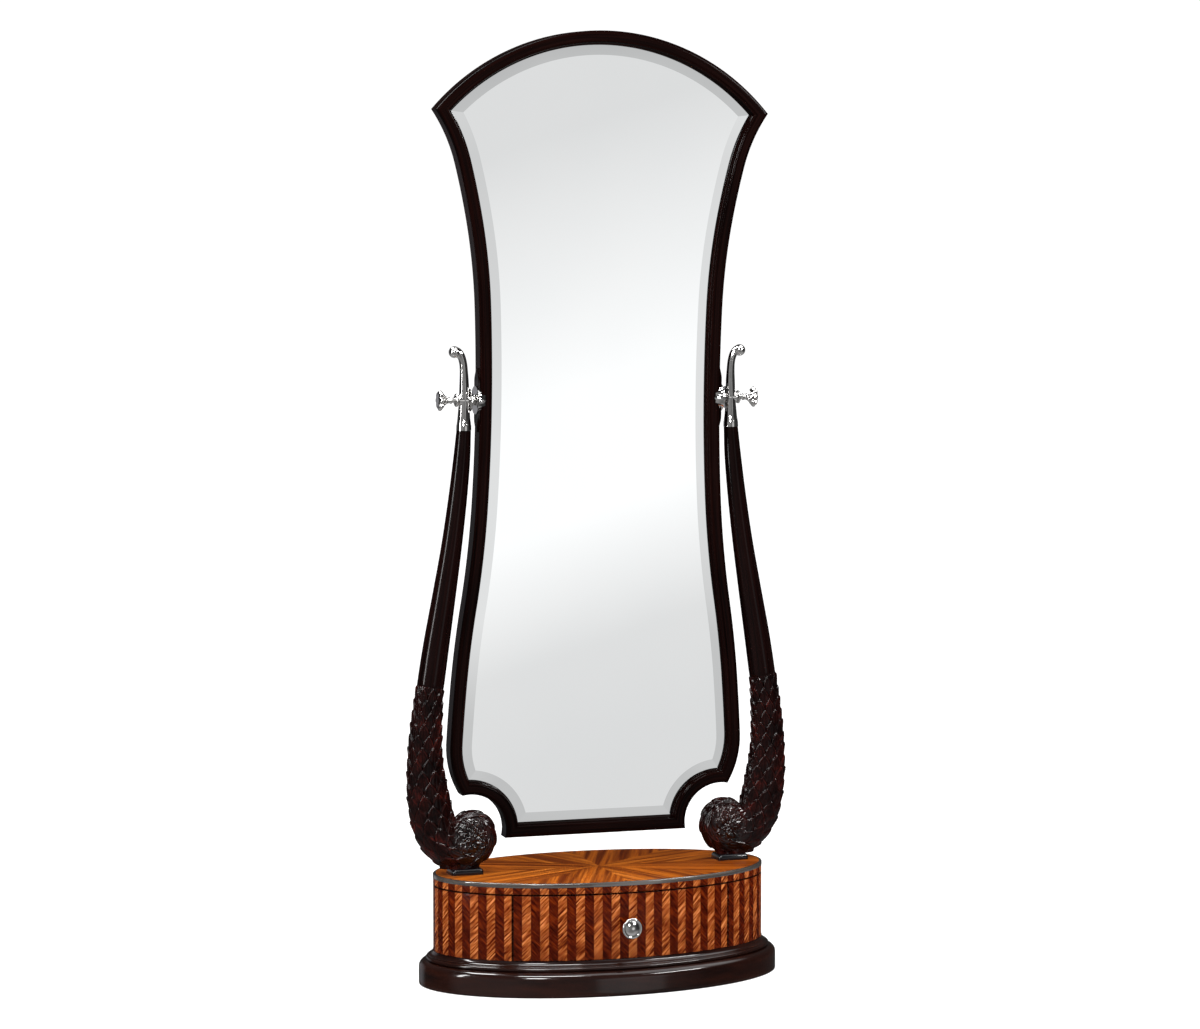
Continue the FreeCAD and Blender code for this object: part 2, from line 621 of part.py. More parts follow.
def member(name, corners):
    """The part of the frame ring inside a polygon drawn in its plane."""
    prism = doc.addObject("Part::Feature", name + "_region")
    reach = size("cutter_reach")
    points = [Vector(point.x, -reach, point.y) for point in corners]
    polygon = Part.Face(Part.makePolygon(points + points[:1]))
    prism.Shape = polygon.extrude(Vector(0, 2 * reach, 0))
    return common(name, frame_ring, prism)


MIRROR_PLACE = Placement(Vector(0, 0, size("pivot_level")),
                         Rotation(Vector(1, 0, 0), size("lean")))


def mirror_node(name, item):
    item.Placement = MIRROR_PLACE * item.Placement
    return node(name, item)


# Distances from the centre line that are clear inside and outside every stile.
INSIDE, OUTSIDE = 150, 400
mitres = {}
for side_name, side in SIDES:
    mitres[side_name, "crest"] = mitre(side * size("crest_corner_x"), size("crest_corner_z"))
    mitres[side_name, "heel"] = mitre(side * size("heel_x"), size("heel_z"))
    mitres[side_name, "foot"] = mitre(side * size("foot_x"), size("foot_z"))

left_crest, right_crest = mitres["left", "crest"], mitres["right", "crest"]
mirror_node("crest_rail", member("CrestRail", [
    left_crest[0], left_crest[1], right_crest[1], right_crest[0],
    Vector(OUTSIDE, 2 * OUTSIDE, 0), Vector(-OUTSIDE, 2 * OUTSIDE, 0)]))
left_foot, right_foot = mitres["left", "foot"], mitres["right", "foot"]
mirror_node("bottom_rail", member("BottomRail", [left_foot[0], left_foot[1], right_foot[1],
                                                 right_foot[0]]))
for side_name, side in SIDES:
    crest, heel, foot = (mitres[side_name, place] for place in ("crest", "heel", "foot"))
    mirror_node("stile_" + side_name, member("Stile_" + side_name, [
        crest[0], crest[1], Vector(side * INSIDE, crest[1].y, 0),
        Vector(side * INSIDE, heel[1].y, 0), heel[1], heel[0],
        Vector(side * OUTSIDE, heel[0].y, 0), Vector(side * OUTSIDE, crest[0].y, 0)]))
    mirror_node("notch_rail_" + side_name, member("NotchRail_" + side_name, [
        heel[0], heel[1], Vector(side * INSIDE, heel[1].y, 0), foot[1], foot[0]]))

mirror_node("mirror_glass", glass_slab)
mirror_node("glass_stops", cut("GlassStops", strip_outer, group("StripCuts",
                                                                [strip_inner, pivot_bores])))
mirror_node("backing_board", cut("BackingBoard", backing_slab, screw_set))
mirror_node("backing_screws", group("BackingScrews", back_screws))

# ---------------------------------------------------------------- pivot fittings of the frame
for side_name, side in SIDES:
    pad_edge = "waist_half_width + pivot_pad_thickness"
    block = box("PivotPadBlock_" + side_name,
                signed(side, pad_edge) if side < 0 else "waist_half_width - 2",
                signed(side, "waist_half_width - 2") if side < 0 else pad_edge,
                "frame_front", "frame_back", "0 - pivot_pad_height / 2", "pivot_pad_height / 2")
    cutter = group("PivotPadCuts_" + side_name, [frame_blank, pivot_bores])
    pad = cut("PivotPad_" + side_name, block, cutter)
    dome = doc.addObject("Part::Ellipsoid", "BossDome_" + side_name)
    bind(dome, Radius1="boss_height_radius", Radius2="boss_inward_radius",
         Radius3="boss_depth_radius")
    move_to(dome, pad_edge + " + boss_plate")
    dome_span = box("BossSpan_" + side_name, "waist_half_width - cutter_reach",
                    pad_edge + " + boss_plate", "0 - cutter_reach", "cutter_reach",
                    "0 - cutter_reach", "cutter_reach")
    stile_span = box("StileSpan_" + side_name, "waist_half_width - cutter_reach", pad_edge,
                     "frame_front", "frame_back", "0 - cutter_reach", "cutter_reach")
    boss_bore = rod("BossBore_" + side_name, "x", "bore_radius", "cutter_reach", bore_near)
    boss_blank = common("BossBlank_" + side_name, dome, dome_span)
    boss_cuts = join("BossCuts_" + side_name, [stile_span, boss_bore])
    boss = place_side(cut("PivotBoss_" + side_name, boss_blank, boss_cuts), side)
    mirror_node("pivot_boss_" + side_name, boss)
    mirror_node("pivot_pad_" + side_name, pad)
    collar_near = pad_edge + " + boss_plate"
    collar_far = "post_centre - horn_eye_half_width - flange_thickness - running_gap"
    collar = rod("PivotCollarRod_" + side_name, "x", "collar_radius",
                 "(%s) - (%s)" % (collar_far, collar_near),
                 signed(side, collar_far) if side < 0 else collar_near)
    mirror_node("pivot_collar_" + side_name, cut("PivotCollar_" + side_name, collar, pivot_bores))


# ---------------------------------------------------------------- checks and STEP files
doc.recompute()
for item in doc.Objects:
    if "Invalid" in item.State or "Error" in item.State:
        raise RuntimeError("failed object: %s %s" % (item.Name, item.State))
for name, item in NODES.items():
    shape = item.Shape
    if shape.isNull() or not shape.isValid() or not shape.Solids:
        raise RuntimeError("bad shape: " + name)

os.makedirs("parts", exist_ok=True)
for name, item in NODES.items():
    item.Shape.exportStep("parts/%s.step" % name)
    print("%-24s solids %d volume %.1f cm3" % (name, len(item.Shape.Solids),
                                               item.Shape.Volume / 1000))
print(len(NODES), "sub-parts")
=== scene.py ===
import json
import math

import bmesh
import bpy
import numpy as np
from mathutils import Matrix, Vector


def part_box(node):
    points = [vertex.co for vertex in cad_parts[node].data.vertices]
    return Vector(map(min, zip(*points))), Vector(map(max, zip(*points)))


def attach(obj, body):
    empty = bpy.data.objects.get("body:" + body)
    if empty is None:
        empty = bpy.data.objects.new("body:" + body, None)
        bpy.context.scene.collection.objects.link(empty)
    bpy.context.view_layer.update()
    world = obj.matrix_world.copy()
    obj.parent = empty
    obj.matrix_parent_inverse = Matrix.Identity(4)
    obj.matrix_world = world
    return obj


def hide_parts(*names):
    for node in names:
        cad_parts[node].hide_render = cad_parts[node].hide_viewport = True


# Cheval mirror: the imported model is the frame, in metres; shapes below are worked
# out in millimetres from it and scaled once, when a mesh is made.
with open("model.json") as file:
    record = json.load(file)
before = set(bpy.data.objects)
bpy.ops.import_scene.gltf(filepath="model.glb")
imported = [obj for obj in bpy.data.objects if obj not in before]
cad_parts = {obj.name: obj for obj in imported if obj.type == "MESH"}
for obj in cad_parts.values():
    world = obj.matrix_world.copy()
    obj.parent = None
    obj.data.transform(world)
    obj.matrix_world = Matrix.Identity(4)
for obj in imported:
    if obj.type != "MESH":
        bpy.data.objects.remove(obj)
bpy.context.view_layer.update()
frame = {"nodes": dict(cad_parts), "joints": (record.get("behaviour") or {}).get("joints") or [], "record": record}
MM = 0.001


def corners(node):
    """Lowest and highest corner of a CAD node, in millimetres."""
    low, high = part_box(node)
    return Vector(low) / MM, Vector(high) / MM


# ---- sizes from the frame
band_low, band_high = corners("top_edge_band")
shell_low, shell_high = corners("back_shell")
plinth_high = corners("plinth_base")[1]
moulding_low, moulding_high = corners("plinth_moulding")
front_low, front_high = corners("drawer_front")
knob_low, knob_high = corners("drawer_knob")
DRUM_A = band_high.x
DRUM_B = band_high.y
DRUM_TOP = band_high.z
PLINTH_OUT = plinth_high.x - DRUM_A
SEAM_GAP = 2.4
STRIP_COUNT = 96
# Ramanujan's length of the drum's ellipse, in metres, shared out between the strips.
STRIPE = math.pi * (3 * (DRUM_A + DRUM_B) - math.sqrt(
    (3 * DRUM_A + DRUM_B) * (DRUM_A + 3 * DRUM_B))) / STRIP_COUNT * MM
PIVOT_Z = next(joint["pos_m"][2] for joint in frame["joints"]
               if joint["name"] == "mirror_tilt") / MM
LEAN = math.radians(2.05)
pad_low, pad_high = corners("foot_pad_right")
POST_X = 0.5 * (pad_low.x + pad_high.x)
PAD_TOP = pad_high.z
VOLUTE_CENTRE = (282.5, 304.5)
VOLUTE_RADIUS, VOLUTE_DEPTH = 46.5, 32.0
SIDES = (("left", -1), ("right", 1))

# ---- camera
scene = bpy.context.scene
camera_data = bpy.data.cameras.new("photo_view")
camera = bpy.data.objects.new("photo_view", camera_data)
scene.collection.objects.link(camera)
camera.location = (-2.2196, -6.7224, 1.4662)
PITCH_DOWN, YAW_RIGHT = math.radians(4.09), math.radians(18.29)
camera.rotation_euler = (0.5 * math.pi - PITCH_DOWN, 0, -YAW_RIGHT)
camera_data.sensor_width = 36
camera_data.lens = 103.18
camera_data.clip_end = 100
scene.camera = camera
scene.view_settings.view_transform = "Standard"


# ---- node helpers
def grey(level):
    return level, level, level


class Nodes:
    """Small builder for a node tree."""

    def __init__(self, tree):
        self.tree = tree
        tree.nodes.clear()

    def new(self, kind, **inputs):
        """A node of one kind, its named sockets set or linked."""
        node = self.tree.nodes.new("ShaderNode" + kind)
        for name, value in inputs.items():
            self.put(value, node.inputs[name])
        return node

    def link(self, source, target):
        self.tree.links.new(source, target)

    def put(self, value, socket):
        if isinstance(value, bpy.types.NodeSocket):
            self.link(value, socket)
        else:
            socket.default_value = value

    def grain(self):
        """Lengthwise and crosswise place in metres, from the piece's own map."""
        node = self.new("UVMap")
        node.uv_map = "grain"
        return node.outputs[0]

    def place(self, kind="Object"):
        return self.new("TexCoord").outputs[kind]

    def math(self, operation, *values):
        node = self.new("Math")
        node.operation = operation
        for socket, value in zip(node.inputs, values):
            self.put(value, socket)
        return node.outputs[0]

    def add(self, *values):
        return self.math("ADD", *values)

    def minus(self, *values):
        return self.math("SUBTRACT", *values)

    def times(self, *values):
        return self.math("MULTIPLY", *values)

    def measure(self, operation, first, second=(0.0, 0.0, 0.0)):
        """A number from vectors: their dot product, or the length of the first."""
        node = self.new("VectorMath")
        node.operation = operation
        for socket, value in zip(node.inputs, (first, second)):
            self.put(value, socket)
        return node.outputs["Value"]

    def parts(self, vector):
        return self.new("SeparateXYZ", Vector=vector).outputs

    def vector(self, x, y, z=0.0):
        return self.new("CombineXYZ", X=x, Y=y, Z=z).outputs[0]

    def scaled(self, vector, scale):
        return self.new("Mapping", Vector=vector, Scale=scale).outputs[0]

    def turned(self, vector, angle):
        node = self.new("VectorRotate")
        node.rotation_type = "Z_AXIS"
        self.put(vector, node.inputs["Vector"])
        self.put(angle, node.inputs["Angle"])
        return node.outputs[0]

    def noise(self, vector, scale=1.0, detail=4.0, roughness=0.55, distortion=0.0):
        return self.new("TexNoise", Vector=vector, Scale=scale, Detail=detail,
                        Roughness=roughness, Distortion=distortion).outputs[0]

    def ramp(self, factor, *stops):
        node = self.new("ValToRGB")
        self.put(factor, node.inputs[0])
        elements = node.color_ramp.elements
        while len(elements) < len(stops):
            elements.new(0.5)
        for element, (position, colour) in zip(elements, stops):
            element.position = position
            element.color = (*colour, 1.0)
        return node.outputs[0]

    def mix(self, factor, first, second, blend="MIX"):
        node = self.new("Mix")
        node.data_type = "RGBA"
        node.blend_type = blend
        self.put(factor, node.inputs[0])
        for socket, value in ((node.inputs[6], first), (node.inputs[7], second)):
            self.put(value if isinstance(value, bpy.types.NodeSocket) else (*value, 1.0), socket)
        return node.outputs[2]

    def multiply(self, first, second):
        """Colour times colour."""
        return self.mix(1.0, first, second, "MULTIPLY")

    def remap(self, value, start, end, low, high, smooth=False):
        """Number taken from start..end to low..high, held at both ends."""
        node = self.new("MapRange")
        if smooth:
            node.interpolation_type = "SMOOTHSTEP"
        for socket, number in zip(node.inputs, (value, start, end, low, high)):
            self.put(number, socket)
        return node.outputs[0]

    def span(self, value, low, high):
        return self.remap(value, 0.0, 1.0, low, high)

    def bump(self, height, strength, distance):
        return self.new("Bump", Strength=strength, Distance=distance, Height=height).outputs[0]


class Paint(Nodes):
    """A material made from one principled shader."""

    def __init__(self, name):
        self.material = bpy.data.materials.new(name)
        self.material.use_nodes = True
        super().__init__(self.material.node_tree)
        self.shader = self.new("BsdfPrincipled")
        self.new("OutputMaterial", Surface=self.shader.outputs[0])

    def finish(self, **settings):
        for name, value in settings.items():
            self.put(value, self.shader.inputs[name.replace("_", " ")])
        return self.material


# ---- materials
def dark_polish(name, dark, warm, along, across, roughness, gloss, coat):
    """Ebonised or red-brown polish over wood whose grain runs along the map's u."""
    n = Paint(name)
    place = n.grain()
    streaks = n.noise(n.scaled(place, (along, across, 1)), 1.0, 5, 0.6, 0.3)
    cloud = n.noise(n.scaled(place, (5, 22, 1)), 1.0, 3, 0.5)
    tone = n.times(streaks, n.span(cloud, 0.6, 1.35))
    colour = n.ramp(tone, (0.30, dark), (0.75, warm))
    wear = n.noise(n.place(), 35, 3, 0.6)
    return n.finish(Base_Color=colour, Roughness=n.span(wear, roughness - 0.05, roughness + 0.09),
                    Specular_IOR_Level=gloss, Coat_Weight=coat, Coat_Roughness=0.05,
                    Normal=n.bump(streaks, 0.06, 0.0004))


def plain_wood(name, light, dark, across=90.0, roughness=0.5, upright=False):
    """Unpolished board with its grain along X, or up Z where it is upright."""
    n = Paint(name)
    along = 2.5
    stretch = (across, across, along) if upright else (along, across, across)
    streaks = n.noise(n.scaled(n.place(), stretch), 1.0, 5, 0.6, 0.6)
    colour = n.ramp(streaks, (0.35, dark), (0.65, light))
    return n.finish(Base_Color=colour, Roughness=n.span(streaks, roughness, roughness + 0.15),
                    Specular_IOR_Level=0.25, Normal=n.bump(streaks, 0.12, 0.0005))


def bright_metal(name, colour, roughness=0.07):
    n = Paint(name)
    haze = n.noise(n.place(), 60, 4, 0.6)
    scratches = n.noise(n.scaled(n.place(), (400, 60, 400)), 1.0, 2, 0.5)
    return n.finish(Base_Color=n.ramp(haze, (0.3, [part * 0.93 for part in colour]), (0.7, colour)),
                    Metallic=1.0, Roughness=n.span(haze, roughness * 0.7, roughness * 1.5),
                    Normal=n.bump(scratches, 0.02, 0.0002))


def marquetry(name):
    """Upright strips, light with rising diagonal grain and dark with falling grain."""
    n = Paint(name)
    round_drum, height, _ = n.parts(n.grain())
    counted = n.math("DIVIDE", round_drum, STRIPE)
    number = n.math("FLOOR", counted)
    is_dark = n.math("FLOORED_MODULO", number, 2.0)
    shift = n.times(number, 3.71)
    rising = n.minus(round_drum, height)
    falling = n.add(round_drum, height)

    def veneer(across, along, fine, coarse):
        lines = n.noise(n.vector(n.times(across, fine), n.times(along, coarse), shift),
                        1.0, 3, 0.62, 0.15)
        broad = n.noise(n.vector(n.times(across, fine * 0.22), n.times(along, coarse * 0.8), shift),
                        1.0, 2, 0.5)
        return lines, broad

    light_lines, light_broad = veneer(rising, falling, 400, 20)
    dark_lines, dark_broad = veneer(falling, rising, 520, 26)
    light = n.ramp(light_lines, (0.40, (0.055, 0.008, 0.002)), (0.46, (0.20, 0.042, 0.007)),
                   (0.53, (0.36, 0.100, 0.020)), (0.63, (0.52, 0.185, 0.060)))
    light = n.mix(n.ramp(light_broad, (0.42, grey(1)), (0.60, grey(0))), light,
                  n.multiply(light, (0.50, 0.36, 0.30)))
    dark = n.ramp(dark_lines, (0.38, (0.022, 0.0020, 0.0004)), (0.52, (0.068, 0.0065, 0.0010)),
                  (0.64, (0.155, 0.022, 0.0025)))
    dark = n.mix(n.ramp(dark_broad, (0.40, grey(1)), (0.62, grey(0))), dark,
                 n.multiply(dark, (0.48, 0.42, 0.45)))
    colour = n.mix(is_dark, light, dark)
    inside = n.math("FRACT", counted)
    joint = n.math("MINIMUM", inside, n.minus(1.0, inside))
    glue_line = n.math("LESS_THAN", joint, 0.022)
    colour = n.mix(n.times(glue_line, 0.7), colour, (0.02, 0.006, 0.004))
    # Painted shade: near-black lines painted on the veneer along the gaps beside the drawer front and over it,
    # standing in for the shade inside those gaps.
    x, y, z = n.parts(n.place())
    edge = n.math("COMPARE", n.math("ABSOLUTE", x), (front_high.x + 0.5 * SEAM_GAP) * MM,
                  0.9 * SEAM_GAP * MM)
    below = n.math("LESS_THAN", z, (shell_high.z + 0.5 * SEAM_GAP) * MM)
    in_front = n.math("LESS_THAN", y, 0.0)
    seam = n.times(edge, n.times(below, in_front))
    rim = n.math("COMPARE", z, shell_high.z * MM, 0.8 * SEAM_GAP * MM)
    # Painted shade along the gaps: near-black colour mixed in at the drawer's sides and along the horizontal seam.
    colour = n.mix(n.times(n.math("MAXIMUM", seam, rim), 0.85), colour, (0.006, 0.002, 0.0015))
    patches = n.noise(n.scaled(n.grain(), (14, 5, 1)), 1.0, 3, 0.5)
    colour = n.mix(n.span(patches, 0.0, 0.7), colour, n.multiply(colour, (0.70, 0.58, 0.50)))
    return n.finish(Base_Color=colour, Roughness=n.span(light_lines, 0.20, 0.34),
                    Specular_IOR_Level=0.03, Coat_Weight=0.05, Coat_Roughness=0.06,
                    Normal=n.bump(light_lines, 0.05, 0.0003))


WEDGES = 8


def sunburst(name):
    """Veneer wedges that radiate from the middle, each with straight grain."""
    n = Paint(name)
    place = n.place()
    x, y, _ = n.parts(place)
    wedge_angle = math.tau / WEDGES
    angle = n.math("ARCTAN2", n.times(y, 1.35), x)
    number = n.math("FLOOR", n.math("DIVIDE", angle, wedge_angle))
    middle = n.times(n.add(number, 0.5), wedge_angle)
    turned = n.turned(place, n.times(middle, -1.0))
    along, across, _ = n.parts(turned)
    shift = n.times(number, 5.3)
    lines = n.noise(n.vector(n.times(along, 4.0), n.times(across, 230.0),
                             shift), 1.0, 4, 0.6, 0.3)
    broad = n.noise(n.vector(n.times(along, 1.6), n.times(across, 60.0),
                             shift), 1.0, 3, 0.55, 0.3)
    colour = n.ramp(lines, (0.36, (0.20, 0.040, 0.003)), (0.52, (0.34, 0.088, 0.006)),
                    (0.68, (0.47, 0.145, 0.020)))
    colour = n.mix(n.ramp(broad, (0.40, grey(1)), (0.51, grey(0.4)), (0.62, grey(0))), colour,
                   n.multiply(colour, (0.30, 0.20, 0.20)))
    every_other = n.math("FLOORED_MODULO", number, 2.0)
    colour = n.multiply(colour, n.mix(every_other, grey(1), (0.86, 0.80, 0.76)))
    return n.finish(Base_Color=colour, Roughness=n.span(lines, 0.24, 0.36),
                    Specular_IOR_Level=0.03, Coat_Weight=0.02, Coat_Roughness=0.08,
                    Normal=n.bump(lines, 0.05, 0.0003))


def silvered(name):
    """Silvered glass; the colour of its bevel is painted a little darker where the face turns away, a painted
    shade standing in for the bevel's dimmer reflection.
    """
    n = Paint(name)
    haze = n.noise(n.place(), 3.0, 2, 0.5)
    colour = n.ramp(haze, (0.2, (0.90, 0.915, 0.92)), (0.8, (0.93, 0.94, 0.94)))
    _, y, z = n.parts(n.place("Normal"))
    facing = n.add(n.times(y, math.cos(LEAN)), n.times(z, math.sin(LEAN)))
    bevel_shade_mask = n.math("LESS_THAN", n.math("ABSOLUTE", facing), 0.9995)
    # Painted shade: the bevel's faces are given a darker colour in place of their different reflection.
    colour = n.mix(bevel_shade_mask, colour, n.multiply(colour, grey(0.80)))
    return n.finish(Base_Color=colour, Metallic=1.0, Roughness=n.span(haze, 0.010, 0.016))


def carved_polish(name):
    """Dark polish with painted light by the mesh's pointiness: painted shade, nearly black, in the cuts, and a
    lighter, redder painted highlight on the raised leaves; rubbed bright near the eye of the volute."""
    n = Paint(name)
    raised = n.new("NewGeometry").outputs["Pointiness"]
    cloud = n.noise(n.place(), 28, 4, 0.6, 0.4)
    warm = n.ramp(cloud, (0.36, (0.0018, 0.0004, 0.0004)), (0.55, (0.0062, 0.0010, 0.0008)),
                  (0.72, (0.022, 0.0026, 0.0018)))
    # Painted shade and painted highlight: the colour is multiplied down in the concave cuts and up, redder, on the
    # convex ridges.
    depth = n.ramp(raised, (0.45, (0.15, 0.13, 0.13)), (0.50, grey(0.9)),
                   (0.54, (2.2, 1.9, 1.7)))
    pores = n.noise(n.place(), 260, 3, 0.6)
    x, _, z = n.parts(n.place())
    from_eye = n.vector(n.minus(n.math("ABSOLUTE", x), VOLUTE_CENTRE[0] * MM), 0.0,
                        n.minus(z, VOLUTE_CENTRE[1] * MM))
    rubbed = n.remap(n.measure("LENGTH", from_eye), 0.034, 0.056, 0.85, 0.15)
    return n.finish(Base_Color=n.multiply(warm, depth), Roughness=n.span(cloud, 0.13, 0.22),
                    Specular_IOR_Level=0.10, Coat_Weight=rubbed, Coat_Roughness=0.04,
                    Normal=n.bump(pores, 0.05, 0.0003))


RECIPES = {
    "ebonised_gloss": (dark_polish, (0.0035, 0.0013, 0.0011), (0.0160, 0.0042, 0.0024),
                       6, 45, 0.13, 0.18, 0.44),
    "ebonised_frame": (dark_polish, (0.0004, 0.0002, 0.0002), (0.0065, 0.0016, 0.0012),
                       3, 210, 0.17, 0.02, 0.01),
    "ebonised_post": (dark_polish, (0.0007, 0.0003, 0.0003), (0.0065, 0.0017, 0.0014),
                      3, 160, 0.14, 0.07, 0.09),
    "black_pad": (dark_polish, (0.002, 0.002, 0.0025), (0.004, 0.0042, 0.006),
                  4, 60, 0.12, 0.25, 0.35),
    "dark_stringing": (dark_polish, (0.022, 0.018, 0.016), (0.075, 0.063, 0.055),
                       6, 300, 0.10, 0.5, 1.0),
    "carved_wood": (carved_polish,),
    "drum_marquetry": (marquetry,),
    "sunburst_veneer": (sunburst,),
    "carcase_wood": (plain_wood, (0.42, 0.27, 0.13), (0.26, 0.15, 0.07)),
    "drawer_lining": (plain_wood, (0.52, 0.36, 0.19), (0.38, 0.24, 0.11), 70, 0.38),
    "backing_ply": (plain_wood, (0.050, 0.024, 0.014), (0.020, 0.010, 0.007), 120, 0.42, True),
    "bright_nickel": (bright_metal, (0.68, 0.67, 0.66)),
    "steel_fixings": (bright_metal, (0.52, 0.52, 0.53), 0.28),
    "silvered_glass": (silvered,),
}
MATERIALS = {slot: make(slot, *settings) for slot, (make, *settings) in RECIPES.items()}
NODE_SLOT = {part["node"]: part["material_slot"] for part in frame["record"]["subparts"]}


# ---- mesh helpers
def body_of_node(node):
    for body, nodes in frame["record"]["behaviour"]["bodies"].items():
        if node in nodes:
            return body
    raise KeyError(node)


def add_piece(name, points, faces, node, uvs=None, sharp=38, tilt=False):
    """Make a mesh piece from millimetre points, with its material, slot and body."""
    mesh = bpy.data.meshes.new(name)
    points = np.asarray(points, dtype=float)
    if tilt:
        points = lean_points(points)
    mesh.from_pydata((points * MM).tolist(), [], faces)
    if uvs is not None:
        layer = mesh.uv_layers.new(name="grain")
        loops = np.zeros(len(mesh.loops), dtype=np.int32)
        mesh.loops.foreach_get("vertex_index", loops)
        layer.data.foreach_set("uv", np.asarray(uvs, dtype=np.float32)[loops].ravel() * MM)
    made = bmesh.new()
    made.from_mesh(mesh)
    bmesh.ops.recalc_face_normals(made, faces=made.faces)
    made.to_mesh(mesh)
    made.free()
    mesh.shade_smooth()
    mesh.set_sharp_from_angle(angle=math.radians(sharp))
    piece = bpy.data.objects.new(name, mesh)
    scene.collection.objects.link(piece)
    slot = NODE_SLOT[node]
    mesh.materials.append(MATERIALS[slot])
    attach(piece, body_of_node(node))
    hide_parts(node)


def lean_points(points):
    """From the tilting frame's own axes to the rest pose: lean, then lift to the pivot."""
    x, y, z = points[:, 0], points[:, 1], points[:, 2]
    cosine, sine = math.cos(LEAN), math.sin(LEAN)
    return np.stack([x, y * cosine - z * sine, y * sine + z * cosine + PIVOT_Z], axis=1)


def grid_faces(rows, columns, close_rows=False):
    """Quads between closed rings, whose points are listed ring by ring."""
    faces = []
    for row in range(rows if close_rows else rows - 1):
        following = (row + 1) % rows
        for column in range(columns):
            beside = (column + 1) % columns
            faces.append((row * columns + column, row * columns + beside,
                          following * columns + beside, following * columns + column))
    return faces


def tube_faces(rows, columns):
    """grid_faces, with a face across the first and the last ring."""
    start = tuple(range(columns))
    end = tuple((rows - 1) * columns + column for column in range(columns))
    return grid_faces(rows, columns) + [start[::-1], end]


def arc_points(centre, radius, start, end, count):
    """Points of an arc, angles in degrees."""
    angles = np.radians(np.linspace(start, end, count))
    return [(centre[0] + radius * math.cos(a), centre[1] + radius * math.sin(a)) for a in angles]


def run_length(points):
    """Distance from the first point to each point of a polyline."""
    return np.concatenate([[0], np.cumsum(np.linalg.norm(np.diff(points, axis=0), axis=1))])


def columns_at(places, run, rows):
    """Each column of rows, read off at the given places of the run."""
    return np.stack([np.interp(places, run, column) for column in rows.T], axis=1)


def spline(points, count, pieces=24):
    """Catmull-Rom through rows of numbers, resampled evenly along the first two."""
    points = np.asarray(points, dtype=float)
    ends = np.vstack([2 * points[0] - points[1], points, 2 * points[-1] - points[-2]])
    dense = []
    for index in range(len(points) - 1):
        p0, p1, p2, p3 = ends[index:index + 4]
        for t in np.linspace(0, 1, pieces, endpoint=False):
            dense.append(0.5 * (2 * p1 + (p2 - p0) * t + (2 * p0 - 5 * p1 + 4 * p2 - p3) * t ** 2
                                + (3 * p1 - p0 - 3 * p2 + p3) * t ** 3))
    dense.append(points[-1])
    dense = np.array(dense)
    length = run_length(dense[:, :2])
    even = np.linspace(0, length[-1], count)
    return columns_at(even, length, dense), even


# ---- oval base
def drum_lengths():
    """Distance round the drum from its front middle, against the ellipse's angle."""
    angles = np.linspace(-1.5 * math.pi, 0.5 * math.pi, 4001)
    x, y = DRUM_A * np.cos(angles), DRUM_B * np.sin(angles)
    steps = np.hypot(np.diff(x), np.diff(y))
    run = np.concatenate([[0], np.cumsum(steps)])
    return angles, run - np.interp(-0.5 * math.pi, angles, run)


DRUM_ANGLES, DRUM_RUN = drum_lengths()


OVAL_SEGMENTS = 288


def oval_sweep(name, node, profile, sharp):
    """Sweep a closed profile of (outset, level) points round the drum's ellipse."""
    angles = np.linspace(-1.5 * math.pi, 0.5 * math.pi, OVAL_SEGMENTS, endpoint=False)
    run = np.interp(angles, DRUM_ANGLES, DRUM_RUN)
    points, uvs = [], []
    for angle, distance in zip(angles, run):
        for outset, level in profile:
            points.append(((DRUM_A + outset) * math.cos(angle),
                           (DRUM_B + outset) * math.sin(angle), level))
            uvs.append((distance, level))
    faces = grid_faces(OVAL_SEGMENTS, len(profile), close_rows=True)
    add_piece(name, points, faces, node, uvs, sharp)


def rounded_profile(inner, bottom, top, radius):
    """Closed wall section with small rounded outer corners."""
    return ([(inner, bottom), (-radius, bottom)]
            + arc_points((-radius, bottom + radius), radius, -60, 0, 3)
            + arc_points((-radius, top - radius), radius, 0, 60, 3)
            + [(-radius, top), (inner, top)])


def build_plinth():
    shoulder_top = moulding_low.z + 4
    shoulder_foot, shoulder_width, inner = 35.5, 15, -60
    shoulder = ([(inner, 0), (PLINTH_OUT - 2, 0), (PLINTH_OUT - 0.6, 0.6), (PLINTH_OUT, 2)]
                + [(PLINTH_OUT, level) for level in (10, 20, 30, 34)]
                + [(PLINTH_OUT - shoulder_width * (1 - math.cos(a)),
                    shoulder_foot + (shoulder_top - shoulder_foot) * math.sin(a))
                   for a in np.radians(np.linspace(0, 90, 12))]
                + [(inner, shoulder_top)])
    oval_sweep("plinth_base_polished", "plinth_base", shoulder, 50)
    base, top, inner = shoulder_top, moulding_high.z, -16
    bead = ([(inner, base), (12.0, base), (12.6, base + 0.6)]
            + arc_points((11.2, base + 4.6), 4.0, -62, 88, 12)
            + [(10.4, base + 9.2), (10.2, base + 9.8)]
            + arc_points((10.6, top - 0.6), 9.4, 268, 184, 10)
            + [(1.2, top), (inner, top)])
    oval_sweep("plinth_moulding_polished", "plinth_moulding", bead, 40)


def build_drum():
    """Wall, drawer front, frieze and edge string, with narrow seams between them."""
    seam = shell_high.z - 0.5 * SEAM_GAP
    shell_sweep("back_shell_veneered", "back_shell", front_high.x + SEAM_GAP, False,
                -15, shell_low.z + 0.3, seam, 240)
    shell_sweep("drawer_front_veneered", "drawer_front", front_high.x, True,
                -18, front_low.z, seam, 144)
    frieze = rounded_profile(-15, shell_high.z + 0.5 * SEAM_GAP, band_low.z - 0.1, 0.9)
    oval_sweep("top_frieze_veneered", "top_frieze", frieze, 50)
    band = ([(-5, band_low.z), (0.0, band_low.z), (0.5, band_low.z + 0.4)]
            + arc_points((-1.6, DRUM_TOP - 2.4), 2.2, 0, 90, 6)
            + [(-5, DRUM_TOP - 0.15)])
    oval_sweep("top_edge_band_polished", "top_edge_band", band, 50)


